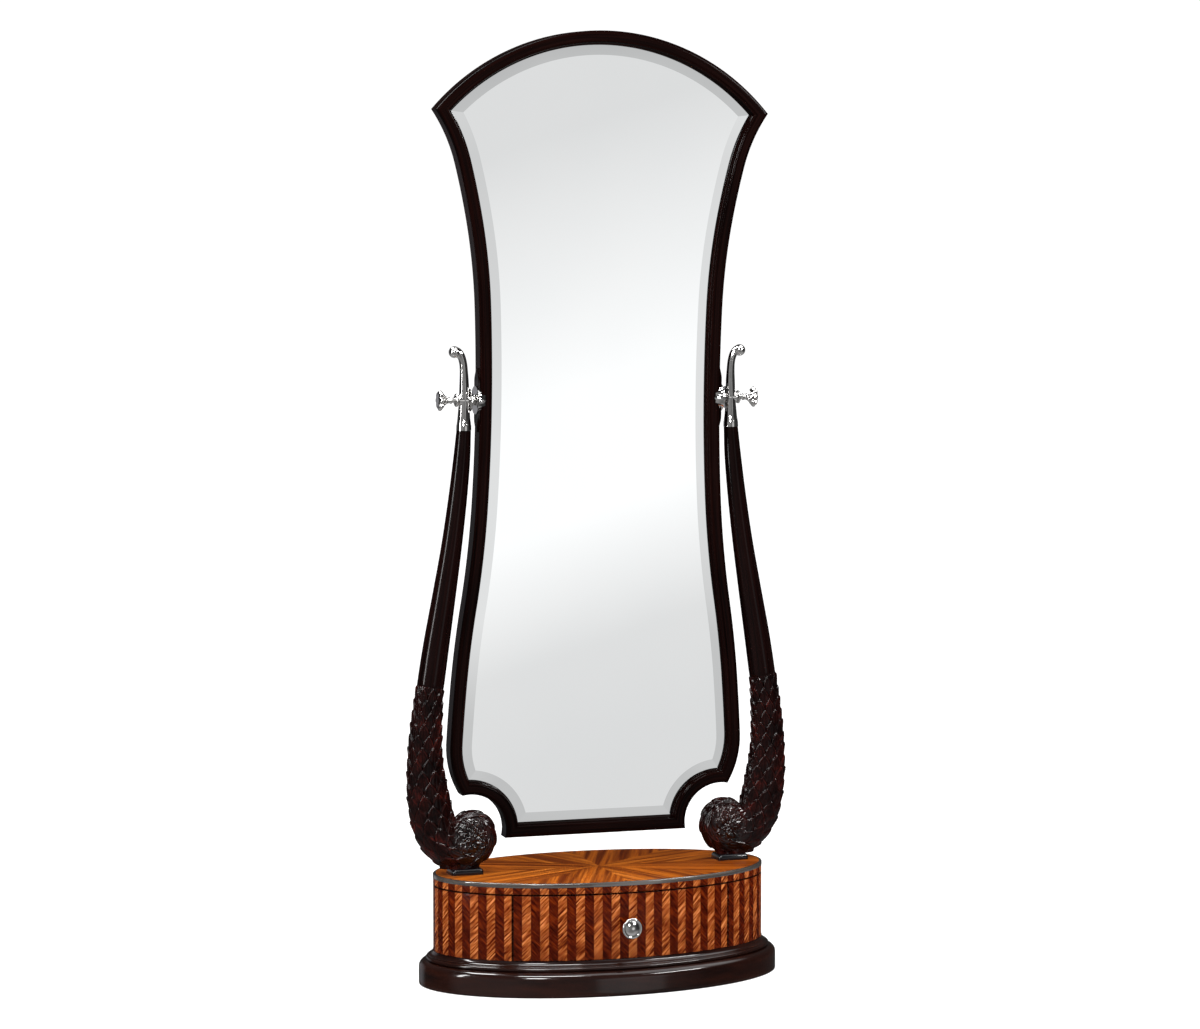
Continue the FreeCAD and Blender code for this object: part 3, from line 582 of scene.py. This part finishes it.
def shell_sweep(name, node, edge_x, in_front, inner, bottom, top, segments):
    """Wall of the drum cut off by the upright planes x = +-edge_x: front part or the rest."""
    profile = rounded_profile(inner, bottom, top, 0.35)
    points, uvs = [], []
    for share in np.linspace(0, 1, segments):
        for outset, level in profile:
            edge = math.acos(edge_x / (DRUM_A + outset))
            first, last = (edge - math.pi, -edge) if in_front else (-edge, math.pi + edge)
            angle = first + (last - first) * share
            wrapped = angle if angle <= 0.5 * math.pi else angle - math.tau
            points.append(((DRUM_A + outset) * math.cos(angle),
                           (DRUM_B + outset) * math.sin(angle), level))
            uvs.append((float(np.interp(wrapped, DRUM_ANGLES, DRUM_RUN)), level))
    add_piece(name, points, tube_faces(segments, len(profile)), node, uvs, sharp=50)


def build_top():
    """Flat oval slab inside the edge string, its top in rings about the middle."""
    inset = 5
    rings = [(share, DRUM_TOP) for share in (0.25, 0.5, 0.75, 0.93, 1.0)]
    rings.append((1.0, shell_high.z + 0.2))
    turns = [math.tau * k / OVAL_SEGMENTS for k in range(OVAL_SEGMENTS)]
    points = [(0, 0, DRUM_TOP)] + [
        ((DRUM_A - inset) * share * math.cos(a), (DRUM_B - inset) * share * math.sin(a), level)
        for share, level in rings for a in turns]
    middle = [(0, 1 + k, 1 + (k + 1) % OVAL_SEGMENTS) for k in range(OVAL_SEGMENTS)]
    sides = [tuple(1 + index for index in face) for face in grid_faces(len(rings), OVAL_SEGMENTS)]
    underside = tuple(reversed(range(len(points) - OVAL_SEGMENTS, len(points))))
    add_piece("top_panel_veneered", points, middle + sides + [underside], "top_panel", sharp=40)


build_plinth()
build_drum()
build_top()


# ---- tilting frame
# Outline of the right side in the mirror's own axes, from the waist up and down, then
# the rounded notch and the crest; each run is one arc tangent to the one before.
WAIST = (259.3, 20.0)
UP_POINTS = [(262.4, 187.0), (280.2, 356.0), (306.8, 479.0), (356.7, 587.2)]
DOWN_POINTS = [(265.6, -210.0), (288.6, -425.0), (308.5, -590.0), (316.4, -706.0),
               (289.7, -813.4)]
NOTCH_RADIUS = 78.0
FOOT = (197.2, -905.8)
CREST_TOP = 750.7


def rotated(vector, angle):
    c, s = math.cos(angle), math.sin(angle)
    return np.array([vector[0] * c - vector[1] * s, vector[0] * s + vector[1] * c])


def tangent_run(start, direction, targets, count=60):
    """Chain of arcs, each tangent to the last, through the targets."""
    run = [start]
    point, heading = np.array(start), np.array(direction, float)
    for target in targets:
        target = np.array(target)
        chord = target - point
        side = heading[0] * chord[1] - heading[1] * chord[0]
        normal = np.array([-heading[1], heading[0]])
        centre = point + normal * chord.dot(chord) / (2 * normal.dot(chord))
        angle = 2 * math.atan2(side, heading.dot(chord))
        run += [tuple(centre + rotated(point - centre, angle * k / count))
                for k in range(1, count + 1)]
        heading = rotated(heading, angle)
        point = target
    return run


def outline_chains():
    """Crest, side, notch and bottom of the right half, ordered clockwise from the top."""
    up = tangent_run(WAIST, (0, 1), UP_POINTS)
    down = tangent_run(WAIST, (0, -1), DOWN_POINTS)
    corner = UP_POINTS[-1]
    rise = CREST_TOP - corner[1]
    radius = (corner[0] ** 2 + rise ** 2) / (2 * rise)
    centre = CREST_TOP - radius
    reach = math.degrees(math.atan2(corner[1] - centre, corner[0]))
    crest = arc_points((0, centre), radius, 90, reach, 90)
    side = up[::-1] + down[1:]
    heel, foot = np.array(DOWN_POINTS[-1]), np.array(FOOT)
    chord = foot - heel
    reach = math.sqrt(NOTCH_RADIUS ** 2 - chord.dot(chord) / 4)
    centre = (heel + foot) / 2 + reach * np.array([-chord[1], chord[0]]) / np.linalg.norm(chord)
    start = math.degrees(math.atan2(*(heel - centre)[::-1]))
    end = math.degrees(math.atan2(*(foot - centre)[::-1])) + 360
    notch = arc_points(centre, NOTCH_RADIUS, start, end, 60)
    bottom = [(x, FOOT[1]) for x in np.linspace(FOOT[0], 0, 21)]
    return [np.array(chain) for chain in (crest, side, notch, bottom)]


def offset_chain(chain, distance):
    """Move a clockwise chain inwards."""
    tangent = np.gradient(chain, axis=0)
    tangent /= np.linalg.norm(tangent, axis=1)[:, None]
    return chain + np.stack([tangent[:, 1], -tangent[:, 0]], axis=1) * distance


def crossing(first, second):
    """Where two polylines cross: index on each, and the point."""
    slack = 1e-6
    for i in range(len(first) - 2, -1, -1):
        p, r = first[i], first[i + 1] - first[i]
        q, s = second[:-1], np.diff(second, axis=0)
        denominator = r[0] * s[:, 1] - r[1] * s[:, 0]
        denominator[np.abs(denominator) < 1e-12] = 1e-12
        gap = q - p
        t = (gap[:, 0] * s[:, 1] - gap[:, 1] * s[:, 0]) / denominator
        u = (gap[:, 0] * r[1] - gap[:, 1] * r[0]) / denominator
        hit = np.nonzero((t >= -slack) & (t <= 1 + slack) & (u >= -slack) & (u <= 1 + slack))[0]
        if len(hit):
            j = int(hit[0])
            return i, j, p + r * t[j]
    raise ValueError("offset runs do not meet")


CHAINS = outline_chains()
MEMBER_COUNTS = (40, 120, 24, 16)


def resample(chain, count):
    length = run_length(chain)
    return columns_at(np.linspace(0, length[-1], count), length, chain)


def offset_members(distance):
    """The four runs of the right half moved inwards and trimmed to their mitres."""
    runs = [offset_chain(chain, distance) for chain in CHAINS]
    if distance > 0:
        for k in range(3):
            i, j, point = crossing(runs[k], runs[k + 1])
            runs[k] = np.vstack([runs[k][:i + 1], point])
            runs[k + 1] = np.vstack([point, runs[k + 1][j + 1:]])
    runs[0][0][0] = 0.0
    runs[3][-1][0] = 0.0
    return [resample(run, count) for run, count in zip(runs, MEMBER_COUNTS)]


# Moulded section of the frame: (distance in from the outline, depth); front is -Y.
FRAME_SECTION = [(0.0, 19.0), (0.0, -12.5), (0.9, -13.3), (0.5, -14.2), (0.5, -15.6),
                 (1.6, -17.6), (4.0, -18.8), (9.0, -19.0), (15.0, -19.0), (19.5, -18.9),
                 (22.3, -18.0), (23.6, -16.6), (23.8, -15.0), (24.6, -13.2), (25.2, -10.8),
                 (26.4, -8.0), (28.0, -6.4), (28.5, -5.0), (28.5, -3.1), (18.0, -3.1),
                 (18.0, 11.0), (9.0, 11.0), (9.0, 19.0)]


GRAIN_LINE = 7  # the point of the section along which the grain is measured


def build_frame():
    loops = {distance: offset_members(distance) for distance, _ in FRAME_SECTION}
    section_run = run_length(np.array(FRAME_SECTION))

    def member(name, node, number, side, both=False):
        lines = []
        for distance, depth in FRAME_SECTION:
            run = loops[distance][number].copy()
            if both:
                mirrored = run * (-1, 1)
                run = (np.vstack([mirrored[::-1][:-1], run]) if number == 0
                       else np.vstack([run, mirrored[::-1][1:]]))
            run[:, 0] *= side
            lines.append(np.stack([run[:, 0], np.full(len(run), depth), run[:, 1]], axis=1))
        grid = np.stack(lines, axis=1)
        along = run_length(grid[:, GRAIN_LINE])[:, None] + 900 * number + 400 * side
        uvs = np.stack(np.broadcast_arrays(along, section_run[None, :]), axis=2).reshape(-1, 2)
        add_piece(name, grid.reshape(-1, 3), tube_faces(*grid.shape[:2]), node, uvs,
                  sharp=34, tilt=True)

    member("crest_rail_moulded", "crest_rail", 0, 1, both=True)
    member("bottom_rail_moulded", "bottom_rail", 3, 1, both=True)
    for side_name, side in SIDES:
        member("stile_%s_moulded" % side_name, "stile_" + side_name, 1, side)
        member("notch_rail_%s_moulded" % side_name, "notch_rail_" + side_name, 2, side)


def whole_loop(distance):
    """The closed outline moved inwards, as one list of (x, z)."""
    crest, stile, notch, bottom = offset_members(distance)
    half = np.vstack([crest[:-1], stile[:-1], notch[:-1], bottom])
    return np.vstack([half, (half * (-1, 1))[::-1][1:-1]])


def build_glass():
    """Glass in rings of (distance in from the outline, depth): back, edge and bevel."""
    rings = [(18.5, 2.0), (18.5, -1.2), (49.0, -3.0)]
    loops = [whole_loop(distance) for distance, _ in rings]
    points = [(x, depth, z) for loop, (_, depth) in zip(loops, rings) for x, z in loop]
    add_piece("mirror_glass_bevelled", points, tube_faces(len(rings), len(loops[0])),
              "mirror_glass", sharp=1.5, tilt=True)


# ---- posts and scrolls
# Stations of a swept piece: x, z, half width, half depth; the post is a little flatter.
SCROLL_STATIONS = [(361.0, 622, 28.6, 26.8), (364.3, 600, 29.5, 27.5), (371.5, 525, 34, 27.5),
                   (373.4, 462, 38, 27), (367.5, 393, 44.5, 27), (353.5, 328, 46.5, 26.5),
                   (329, 285, 41, 26), (293, 268, 31.5, 25.5), (262, 277, 28, 25),
                   (247, 300, 24.5, 24.5), (253, 328, 21.5, 23.5), (276, 341, 18, 22.5),
                   (298, 335, 15, 21.5), (305, 316, 13, 20), (296, 302, 11, 19), (284, 303, 9, 18)]
POST_FLATTER = 0.93
POST_STATIONS = [(x, z, half, POST_FLATTER * half) for x, z, half in (
    (363.4, 606, 21.5), (362.2, 614, 26.5), (361.0, 622, 28.3), (349.2, 700, 27.3),
    (332.5, 800, 24.5), (316.3, 900, 21.7), (302.7, 1000, 19.6), (294, 1080, 17.7),
    (289.65, 1137.6, 15.2))]
LEAF_COUNT = 9
LEAF_ROW = 24.0
LEAF_RISE = 5.2


def smooth_step(value):
    value = np.clip(value, 0, 1)
    return value * value * (3 - 2 * value)


def leaf_layers(run, turn_share, cell):
    """Overlapping pointed leaves: rows are counted by run, leaves by turn_share.

    cell is half a leaf's width in mm; the result is a height from 0 to about 1.3.
    """
    row = np.floor(run)
    past_tip = run - row

    def across(row_number):
        share = turn_share + np.where(row_number % 2 > 0.5, 0.5, 0.0)
        return (share - np.round(share)) * 2 * cell

    near, far = across(row), across(row - 1)
    width = 1.06 * cell * (1 - (1 - np.minimum(past_tip / 1.05, 1)) ** 1.7)
    cover = smooth_step((width - np.abs(near)) / 1.1 + 0.5)

    def surface(offset, distance, wide):
        arch = 0.22 * (1 - (offset / np.maximum(wide, 2)) ** 2)
        vein = -0.16 * np.exp(-(offset / 1.1) ** 2)
        rim = 0.30 * np.exp(-((np.abs(offset) - wide + 1.5) / 1.0) ** 2)
        return (1 - 0.5 * distance) + np.clip(arch, -0.1, 0.4) + vein + rim

    return (cover * surface(near, past_tip, width)
            + (1 - cover) * surface(far, past_tip + 1, 1.06 * cell))


def leaf_relief(along, around, radius):
    """Height in mm of leaves whose tips point back along the sweep."""
    return LEAF_RISE * leaf_layers(along / LEAF_ROW, around * LEAF_COUNT / math.tau + 0.25,
                                   math.pi / LEAF_COUNT * radius)


def join_shapes(*shapes):
    """Put several shapes of points and faces in one mesh."""
    points, faces, base = [], [], 0
    for shape_points, shape_faces in shapes:
        points.append(np.asarray(shape_points, float))
        faces += [tuple(index + base for index in face) for face in shape_faces]
        base += len(shape_points)
    return np.vstack(points), faces


def super_section(angle, width, depth, exponent):
    """Rounded section: an ellipse at exponent 2, squarer above it and pointed below."""
    c, s = np.cos(angle), np.sin(angle)
    return (width * np.sign(c) * np.abs(c) ** (2 / exponent),
            depth * np.sign(s) * np.abs(s) ** (2 / exponent))


def sweep_shape(stations, rows, columns, exponent, side, relief=None):
    """Sweep a rounded section along a line in the XZ plane: points, faces and grain map."""
    even, length = spline(stations, rows)
    centre = even[:, :2]
    tangent = np.gradient(centre, axis=0)
    tangent /= np.linalg.norm(tangent, axis=1)[:, None]
    normal = np.stack([-tangent[:, 1], tangent[:, 0]], axis=1)
    angle = np.linspace(0, math.tau, columns, endpoint=False)
    width, depth = even[:, 2:3], even[:, 3:4]
    across, out = super_section(angle[None, :], width, depth, exponent)
    if relief is not None:
        grown = 1 + relief(*np.broadcast_arrays(length[:, None], angle[None, :],
                                                0.5 * (width + depth))) / np.hypot(across, out)
        across = across * grown
        out = out * grown
    x = (centre[:, 0:1] + normal[:, 0:1] * across) * side
    z = centre[:, 1:2] + normal[:, 1:2] * across
    points = np.stack([x, out, z], axis=2).reshape(-1, 3)
    uvs = np.stack(np.broadcast_arrays(length[:, None], angle[None, :] * 28.0), axis=2)
    return points, tube_faces(rows, columns), uvs.reshape(-1, 2)


def scroll_relief(along, around, radius):
    """Leaves below a level collar line; above it the wood dips into the post."""
    collar, first_tips = 6.0, 8.0
    leaves = leaf_relief(along - first_tips + LEAF_ROW * 10, around, radius) - LEAF_RISE
    shown = smooth_step((along - collar) / 1.6 + 0.5)
    return shown * leaves + (1 - shown) * -5.5


PETALS = 8


def volute_shape(side):
    """Carved boss that fills the scroll's eye: rings of petals round a bud, on both faces."""
    columns, rings = 176, 56
    radii = VOLUTE_RADIUS * np.sin(np.linspace(0.015, 1, rings) * math.pi / 2)
    angle = np.linspace(0, math.tau, columns, endpoint=False)[None, :]
    r = radii[:, None]
    dome = VOLUTE_DEPTH * np.sqrt(np.clip(1 - (r / (VOLUTE_RADIUS * 1.02)) ** 2, 0, 1)) ** 0.8
    swirl = angle + 0.9 * r / VOLUTE_RADIUS
    run = (VOLUTE_RADIUS - r) / 11.5
    petals = leaf_layers(run + 10, swirl * PETALS / math.tau,
                         np.maximum(math.pi / PETALS * r, 1.5))
    curl = 0.9 * np.sin(3 * swirl - 0.35 * r) * smooth_step(r / 12)
    bud = smooth_step((9.5 - r) / 3)
    height = dome + (1 - bud) * (6.0 * petals + curl - 4.6) + bud * (2.2 - 0.02 * r * r)
    x = VOLUTE_CENTRE[0] + r * np.cos(angle)
    z = VOLUTE_CENTRE[1] + r * np.sin(angle)
    front = np.stack([x * side, -height, z], axis=2)
    back = np.stack([x * side, height, z], axis=2)
    grid = np.concatenate([front, back[::-1]])
    return grid.reshape(-1, 3), tube_faces(2 * rings, columns)


def build_scrolls():
    seat = 6.5
    for side_name, side in SIDES:
        points, faces, uvs = sweep_shape(SCROLL_STATIONS, 430, 144, 2.0, side, scroll_relief)
        points[points[:, 2] < PAD_TOP + seat, 2] = PAD_TOP + 0.05
        boss, boss_faces = volute_shape(side)
        points, faces = join_shapes((points, faces), (boss, boss_faces))
        uvs = np.vstack([uvs, boss[:, (2, 0)]])
        add_piece("scroll_foot_%s_carved" % side_name, points, faces, "scroll_foot_" + side_name,
                  uvs, sharp=70)
        points, faces, uvs = sweep_shape(POST_STATIONS, 90, 64, 1.75, side)
        add_piece("post_%s_shaped" % side_name, points, faces, "post_" + side_name, uvs, sharp=60)


# ---- nickel fittings
HORN_STATIONS = [(289.65, 1137.7, 15, 14.6), (289.4, 1150, 14.6, 14.2), (289.2, 1170, 13, 12.6),
                 (288.8, 1199.3, 10.9, 10.9), (288.4, 1228, 10.2, 10), (288.9, 1256, 8.7, 8.5),
                 (290.4, 1274, 8.2, 8.1), (294.6, 1288.5, 8.4, 8.3), (301.5, 1296.5, 9.2, 9.2),
                 (307, 1297.6, 10.4, 10.4)]
BALL_CENTRE, BALL_RADIUS = (308.5, 1297.0), 12.0


def lathe(profile, columns=64, lobes=0, lobe_depth=0.0):
    """Turn (along, radius) rows round the X axis; a third number is the row's fluting."""
    points = []
    for along, radius, *fluted in profile:
        for k in range(columns):
            a = math.tau * k / columns
            r = radius
            if fluted:
                r -= lobe_depth * fluted[0] * (0.5 - 0.5 * math.cos(lobes * a)) ** 2
            points.append((along, r * math.cos(a), r * math.sin(a)))
    return np.array(points), tube_faces(len(profile), columns)


def place_turned(stem, ending, start, profile, tilt=False, **shape):
    """Put a pair of turned pieces on the pivot's axis, growing outwards from start."""
    turned, faces = lathe(profile, **shape)
    for side_name, side in SIDES:
        points = (turned + (start, 0, 0)) * (side, 1, 1)
        if not tilt:
            points[:, 2] += PIVOT_Z
        add_piece("%s_%s_%s" % (stem, side_name, ending), points, faces,
                  "%s_%s" % (stem, side_name), sharp=42, tilt=tilt)


def ball_shape(centre, radius, rings=18, columns=36):
    angles = np.linspace(-88, 88, rings)
    profile = [(radius * math.sin(math.radians(a)), radius * math.cos(math.radians(a)))
               for a in angles]
    points, faces = lathe(profile, columns)
    return points + centre, faces


FLUTE_DEPTH = 0.055


def horn_ridges(along, around, radius):
    """Fine flutes that fade in above the plain socket; depth is a share of the radius."""
    fade = smooth_step((along - 14) / 10)
    socket = np.where(along < 12, 0.5, 0.0) * smooth_step((12 - along) / 1.5 + 0.5)
    return socket - fade * FLUTE_DEPTH * radius * np.abs(np.sin(around * 4))


def build_fittings():
    flange_in, flange_out = POST_X - 14.2, POST_X - 11
    for side_name, side in SIDES:
        horn, horn_faces, _ = sweep_shape(HORN_STATIONS, 110, 72, 2.0, side, horn_ridges)
        ball = ball_shape((side * BALL_CENTRE[0], 0, BALL_CENTRE[1]), BALL_RADIUS)
        eye, eye_faces = lathe([(0, 9.6), (0.6, 10.4), (2, 10.5), (20, 10.5), (21.4, 10.4),
                                (22, 9.6)])
        eye = eye * (side, 1, 1) + (side * flange_out, 0, PIVOT_Z)
        points, faces = join_shapes((horn, horn_faces), ball, (eye, eye_faces))
        add_piece("finial_horn_%s_cast" % side_name, points, faces, "finial_horn_" + side_name,
                  sharp=44)
        build_boss(side_name, side)
    place_turned("horn_flange", "turned", flange_in, [
        (0, 5), (0, 21.4), (0.5, 22.6), (1.3, 23.0), (2.0, 22.6), (2.6, 21.4), (3.2, 19.5),
        (3.2, 5)])
    place_turned("pivot_collar", "turned", flange_in - 9.4, [
        (0, 5.05), (0, 9.6), (0.8, 10.8), (1.8, 11.4), (3.2, 11.4), (4.0, 10.6), (4.4, 9.9),
        (5.2, 9.7), (5.8, 10.4), (6.8, 11.2), (8.2, 11.2), (9.1, 10.2), (9.1, 5.05)], tilt=True)
    place_turned("clamp_collar", "turned", POST_X + 11.3, [
        (0, 5), (0, 9.5), (1.4, 10.5), (2.2, 12.8), (3.4, 13.5), (5.0, 13.5), (6.2, 12.8),
        (7.0, 10.5), (8.2, 8.0), (9.0, 7.0), (9.0, 5)])
    place_turned("clamp_knob", "cast", POST_X + 25.3, [
        (0, 5.05), (0, 6.2), (0.8, 7.2), (2.0, 7.4), (3.2, 6.4), (5.0, 5.9), (8.0, 6.2, 0.1),
        (11.0, 7.6, 0.3), (14.0, 10.0, 0.6), (17.0, 13.4, 0.9), (19.5, 17.0, 1.0),
        (21.5, 19.6, 1.0), (23.2, 21.0, 1.0), (25.0, 21.4, 1.0), (26.6, 21.0, 1.0),
        (28.0, 19.4, 0.9), (29.2, 16.5, 0.6), (30.2, 11.5, 0.3), (30.8, 6.0), (30.95, 0.6)],
                 columns=96, lobes=8, lobe_depth=4.2)


def build_boss(side_name, side):
    """Fluted oval dome on the stile, and the shaped backplate under it."""
    rows, columns = 26, 96
    centre_x, reach_x, reach_y, reach_z = 266.0, 27.0, 27.4, 29.0
    grid = []
    for polar in np.linspace(0, 0.5 * math.pi, rows):
        for k in range(columns):
            a = math.tau * k / columns
            flute = 1 - 0.10 * abs(math.sin(7 * a)) * math.sin(2 * polar) ** 0.5
            r = math.sin(polar) * flute
            grid.append((side * (centre_x - reach_x * math.cos(polar)),
                         reach_y * r * math.cos(a), reach_z * r * math.sin(a)))
    add_piece("pivot_boss_%s_fluted" % side_name, grid, tube_faces(rows, columns),
              "pivot_boss_" + side_name, sharp=45, tilt=True)
    half_height, half_width, end, waist = 65.0, 19.0, 26, 0.32
    outline = []
    for z in np.linspace(-half_height, half_height, 26):
        rise = math.sin(min(1, (half_height - abs(z)) / end) * math.pi / 2) ** 1.3
        outline.append((half_width * min(1.0, waist + (1 - waist) * rise), z))
    contour = outline + [(-w, z) for w, z in reversed(outline)]
    near, far, chamfer = side * 259.4, side * 262.25, 0.6
    points = [(x, w - math.copysign(inset, w), z - math.copysign(inset, z))
              for x, inset in ((near, 0.0), (far - side * chamfer, 0.0), (far, chamfer))
              for w, z in contour]
    add_piece("pivot_pad_%s_shaped" % side_name, points, tube_faces(3, len(contour)),
              "pivot_pad_" + side_name, sharp=40, tilt=True)


def build_drawer_knob():
    """Turned knob with a raised rim round a domed middle, standing out along -Y."""
    reach = knob_high.y - knob_low.y
    profile = [(0, 2.2), (0, 10.2), (0.8, 10.5), (2.0, 10.2), (3.0, 8.6), (4.2, 7.0),
               (8.0, 6.4), (12.0, 6.6), (14.5, 8.4), (16.5, 12.0), (18.2, 17.0), (19.4, 19.8),
               (20.8, 21.2), (22.4, 21.5), (24.0, 21.1), (25.0, 20.0), (25.4, 18.6),
               (25.0, 17.2), (24.2, 16.2), (24.0, 15.2), (24.6, 14.4), (26.0, 12.6),
               (27.6, 9.6), (28.8, 6.0), (reach - 0.1, 2.4), (reach, 0.4)]
    points, faces = lathe(profile, 80)
    level = 0.5 * (knob_low.z + knob_high.z)
    points = np.stack([points[:, 1], knob_high.y - points[:, 0], points[:, 2] + level], axis=1)
    add_piece("drawer_knob_turned", points, faces, "drawer_knob", sharp=40)


def build_pads():
    """Rounded blocks with a quarter-round top edge."""
    corner, edge = 6.0, 4.5
    rings = [(0.0, -1.0), (0.0, -0.7)] + [
        (edge * (1 - math.cos(a)), -0.25 + 1.25 * math.sin(a))
        for a in np.radians(np.linspace(0, 90, 8))]
    for side_name, _ in SIDES:
        low, high = corners("foot_pad_" + side_name)
        centre, half = (low + high) * 0.5, (high - low) * 0.5
        points = []
        for inset, level in rings:
            x_reach, y_reach = half.x - inset - corner, half.y - inset - corner
            for x_sign, y_sign, first in ((1, 1, 0), (-1, 1, 90), (-1, -1, 180), (1, -1, 270)):
                points += [(centre.x + x, centre.y + y, centre.z + half.z * level)
                           for x, y in arc_points((x_sign * x_reach, y_sign * y_reach), corner,
                                                  first, first + 90, 6)]
        add_piece("foot_pad_%s_polished" % side_name, points,
                  tube_faces(len(rings), len(points) // len(rings)), "foot_pad_" + side_name,
                  sharp=50)


build_frame()
build_glass()
build_scrolls()
build_fittings()
build_drawer_knob()
build_pads()

# ---- CAD nodes that stay
for node_name, node_object in frame["nodes"].items():
    node_object.data.materials.clear()
    node_object.data.materials.append(MATERIALS[NODE_SLOT[node_name]])


# ---- studio
def stage_mesh(name, points, faces, colour, near_glow, far_glow):
    """Pale studio surface whose glow changes 0.5 to 1.6 m from the middle of the floor."""
    mesh = bpy.data.meshes.new(name)
    mesh.from_pydata(points, [], faces)
    made = bpy.data.objects.new(name, mesh)
    scene.collection.objects.link(made)
    n = Paint(name + "_paint")
    cloud = n.noise(n.place(), 2.0, 3, 0.5)
    glow = n.remap(n.measure("LENGTH", n.place()), 0.5, 1.6, near_glow, far_glow)
    mesh.materials.append(n.finish(
        Base_Color=n.ramp(cloud, (0.3, grey(colour)), (0.7, grey(colour * 1.04))),
        Roughness=0.9, Emission_Color=(1, 1, 1, 1), Emission_Strength=glow))
    made.visible_glossy = False
    return made


def build_stage():
    reach = 40
    stage_mesh("studio_floor", [(-reach, -reach, 0), (reach, -reach, 0), (reach, reach, 0),
                                (-reach, reach, 0)], [(0, 1, 2, 3)], 0.30, 0.76, 1.0)
    count = 48
    points = [(radius * math.cos(math.tau * k / count), radius * math.sin(math.tau * k / count),
               level) for radius, level in ((38, -0.5), (38, 26), (11.4, 36))
              for k in range(count)]
    faces = grid_faces(3, count) + [tuple(2 * count + k for k in range(count))]
    wall = stage_mesh("studio_backdrop", points, faces, 0.05, 1.0, 1.0)
    wall.visible_diffuse = False
    wall.visible_shadow = False


# Soft round patches of the room: direction, inner and outer half angle, brightness.
ROOM_PATCHES = (((0, -1, -0.1), 25, 55, grey(0.20)),
                ((-0.80, -0.58, -0.1), 18, 40, grey(0.32)),
                ((-0.33, 0.94, 0.0), 8, 22, (0.30, 0.30, 0.32)),
                ((0.45, -0.08, 0.88), 12, 31, grey(3.0)))
CARD_AIM = (0.313, -0.94, -0.12)


def build_world():
    """Dim room with soft bright patches, and the banded card that the glass reflects."""
    world = bpy.data.worlds.new("studio")
    scene.world = world
    world.use_nodes = True
    n = Nodes(world.node_tree)
    direction = n.place("Generated")
    x, _, z = n.parts(direction)

    def patch(aim, inner, outer):
        dot = n.measure("DOT_PRODUCT", direction, Vector(aim).normalized())
        return n.remap(dot, math.cos(math.radians(outer)), math.cos(math.radians(inner)),
                       0.0, 1.0, smooth=True)

    aside = n.minus(x, CARD_AIM[0])
    near_aside = n.math("MAXIMUM", n.math("MINIMUM", aside, 0.045), -0.045)
    level = n.add(z, n.times(near_aside, -0.39))
    edge = n.ramp(n.math("ABSOLUTE", aside), (0.05, grey(1)), (0.09, grey(0.93)))
    bands = n.ramp(n.add(n.times(level, 2.0), 0.5), (0.06, grey(0.76)), (0.15, grey(0.80)),
                   (0.225, grey(1.10)), (0.30, grey(1.08)), (0.45, grey(0.78)))
    colour = n.ramp(n.add(n.times(z, 0.5), 0.5), (0.0, grey(0.48)), (0.20, grey(0.36)),
                    (0.36, grey(0.05)), (0.62, grey(0.03)), (0.95, grey(0.10)))
    for aim, inner, outer, brightness in ROOM_PATCHES:
        colour = n.mix(patch(aim, inner, outer), colour, brightness)
    colour = n.mix(patch(CARD_AIM, 12, 15.5), colour, n.multiply(bands, edge))
    background = n.new("Background", Color=colour, Strength=1.0)
    n.new("OutputWorld", Surface=background.outputs[0])


def add_card(name, place, target, size, power, mirrored=True):
    """Soft rectangular studio light, sized in metres, aimed at a point."""
    light = bpy.data.lights.new(name, "AREA")
    light.shape = "RECTANGLE"
    light.size, light.size_y = size
    light.energy = power
    card = bpy.data.objects.new(name, light)
    scene.collection.objects.link(card)
    card.location = place
    card.visible_glossy = mirrored
    card.rotation_euler = (Vector(target) - Vector(place)).to_track_quat("-Z", "Y").to_euler()


build_stage()
build_world()
add_card("left_card", (-4.0, -1.1, 1.7), (0, 0, 0.9), (0.4, 2.8), 100)
add_card("right_card", (3.6, -0.6, 1.7), (0, 0, 0.9), (0.30, 2.8), 60, False)
add_card("front_card", (-1.9, -4.6, 2.9), (0, 0, 0.4), (0.9, 0.9), 110)
add_card("top_card", (-0.5, -1.6, 3.5), (0, 0, 0.2), (1.5, 0.45), 90)
add_card("bead_card", (2.9, -3.1, 2.9), (0, 0, 0.3), (1.9, 0.3), 120)
add_card("overhead_card", (-1.3, 0.5, 3.4), (-0.3, 0, 0.3), (1.2, 0.8), 90)
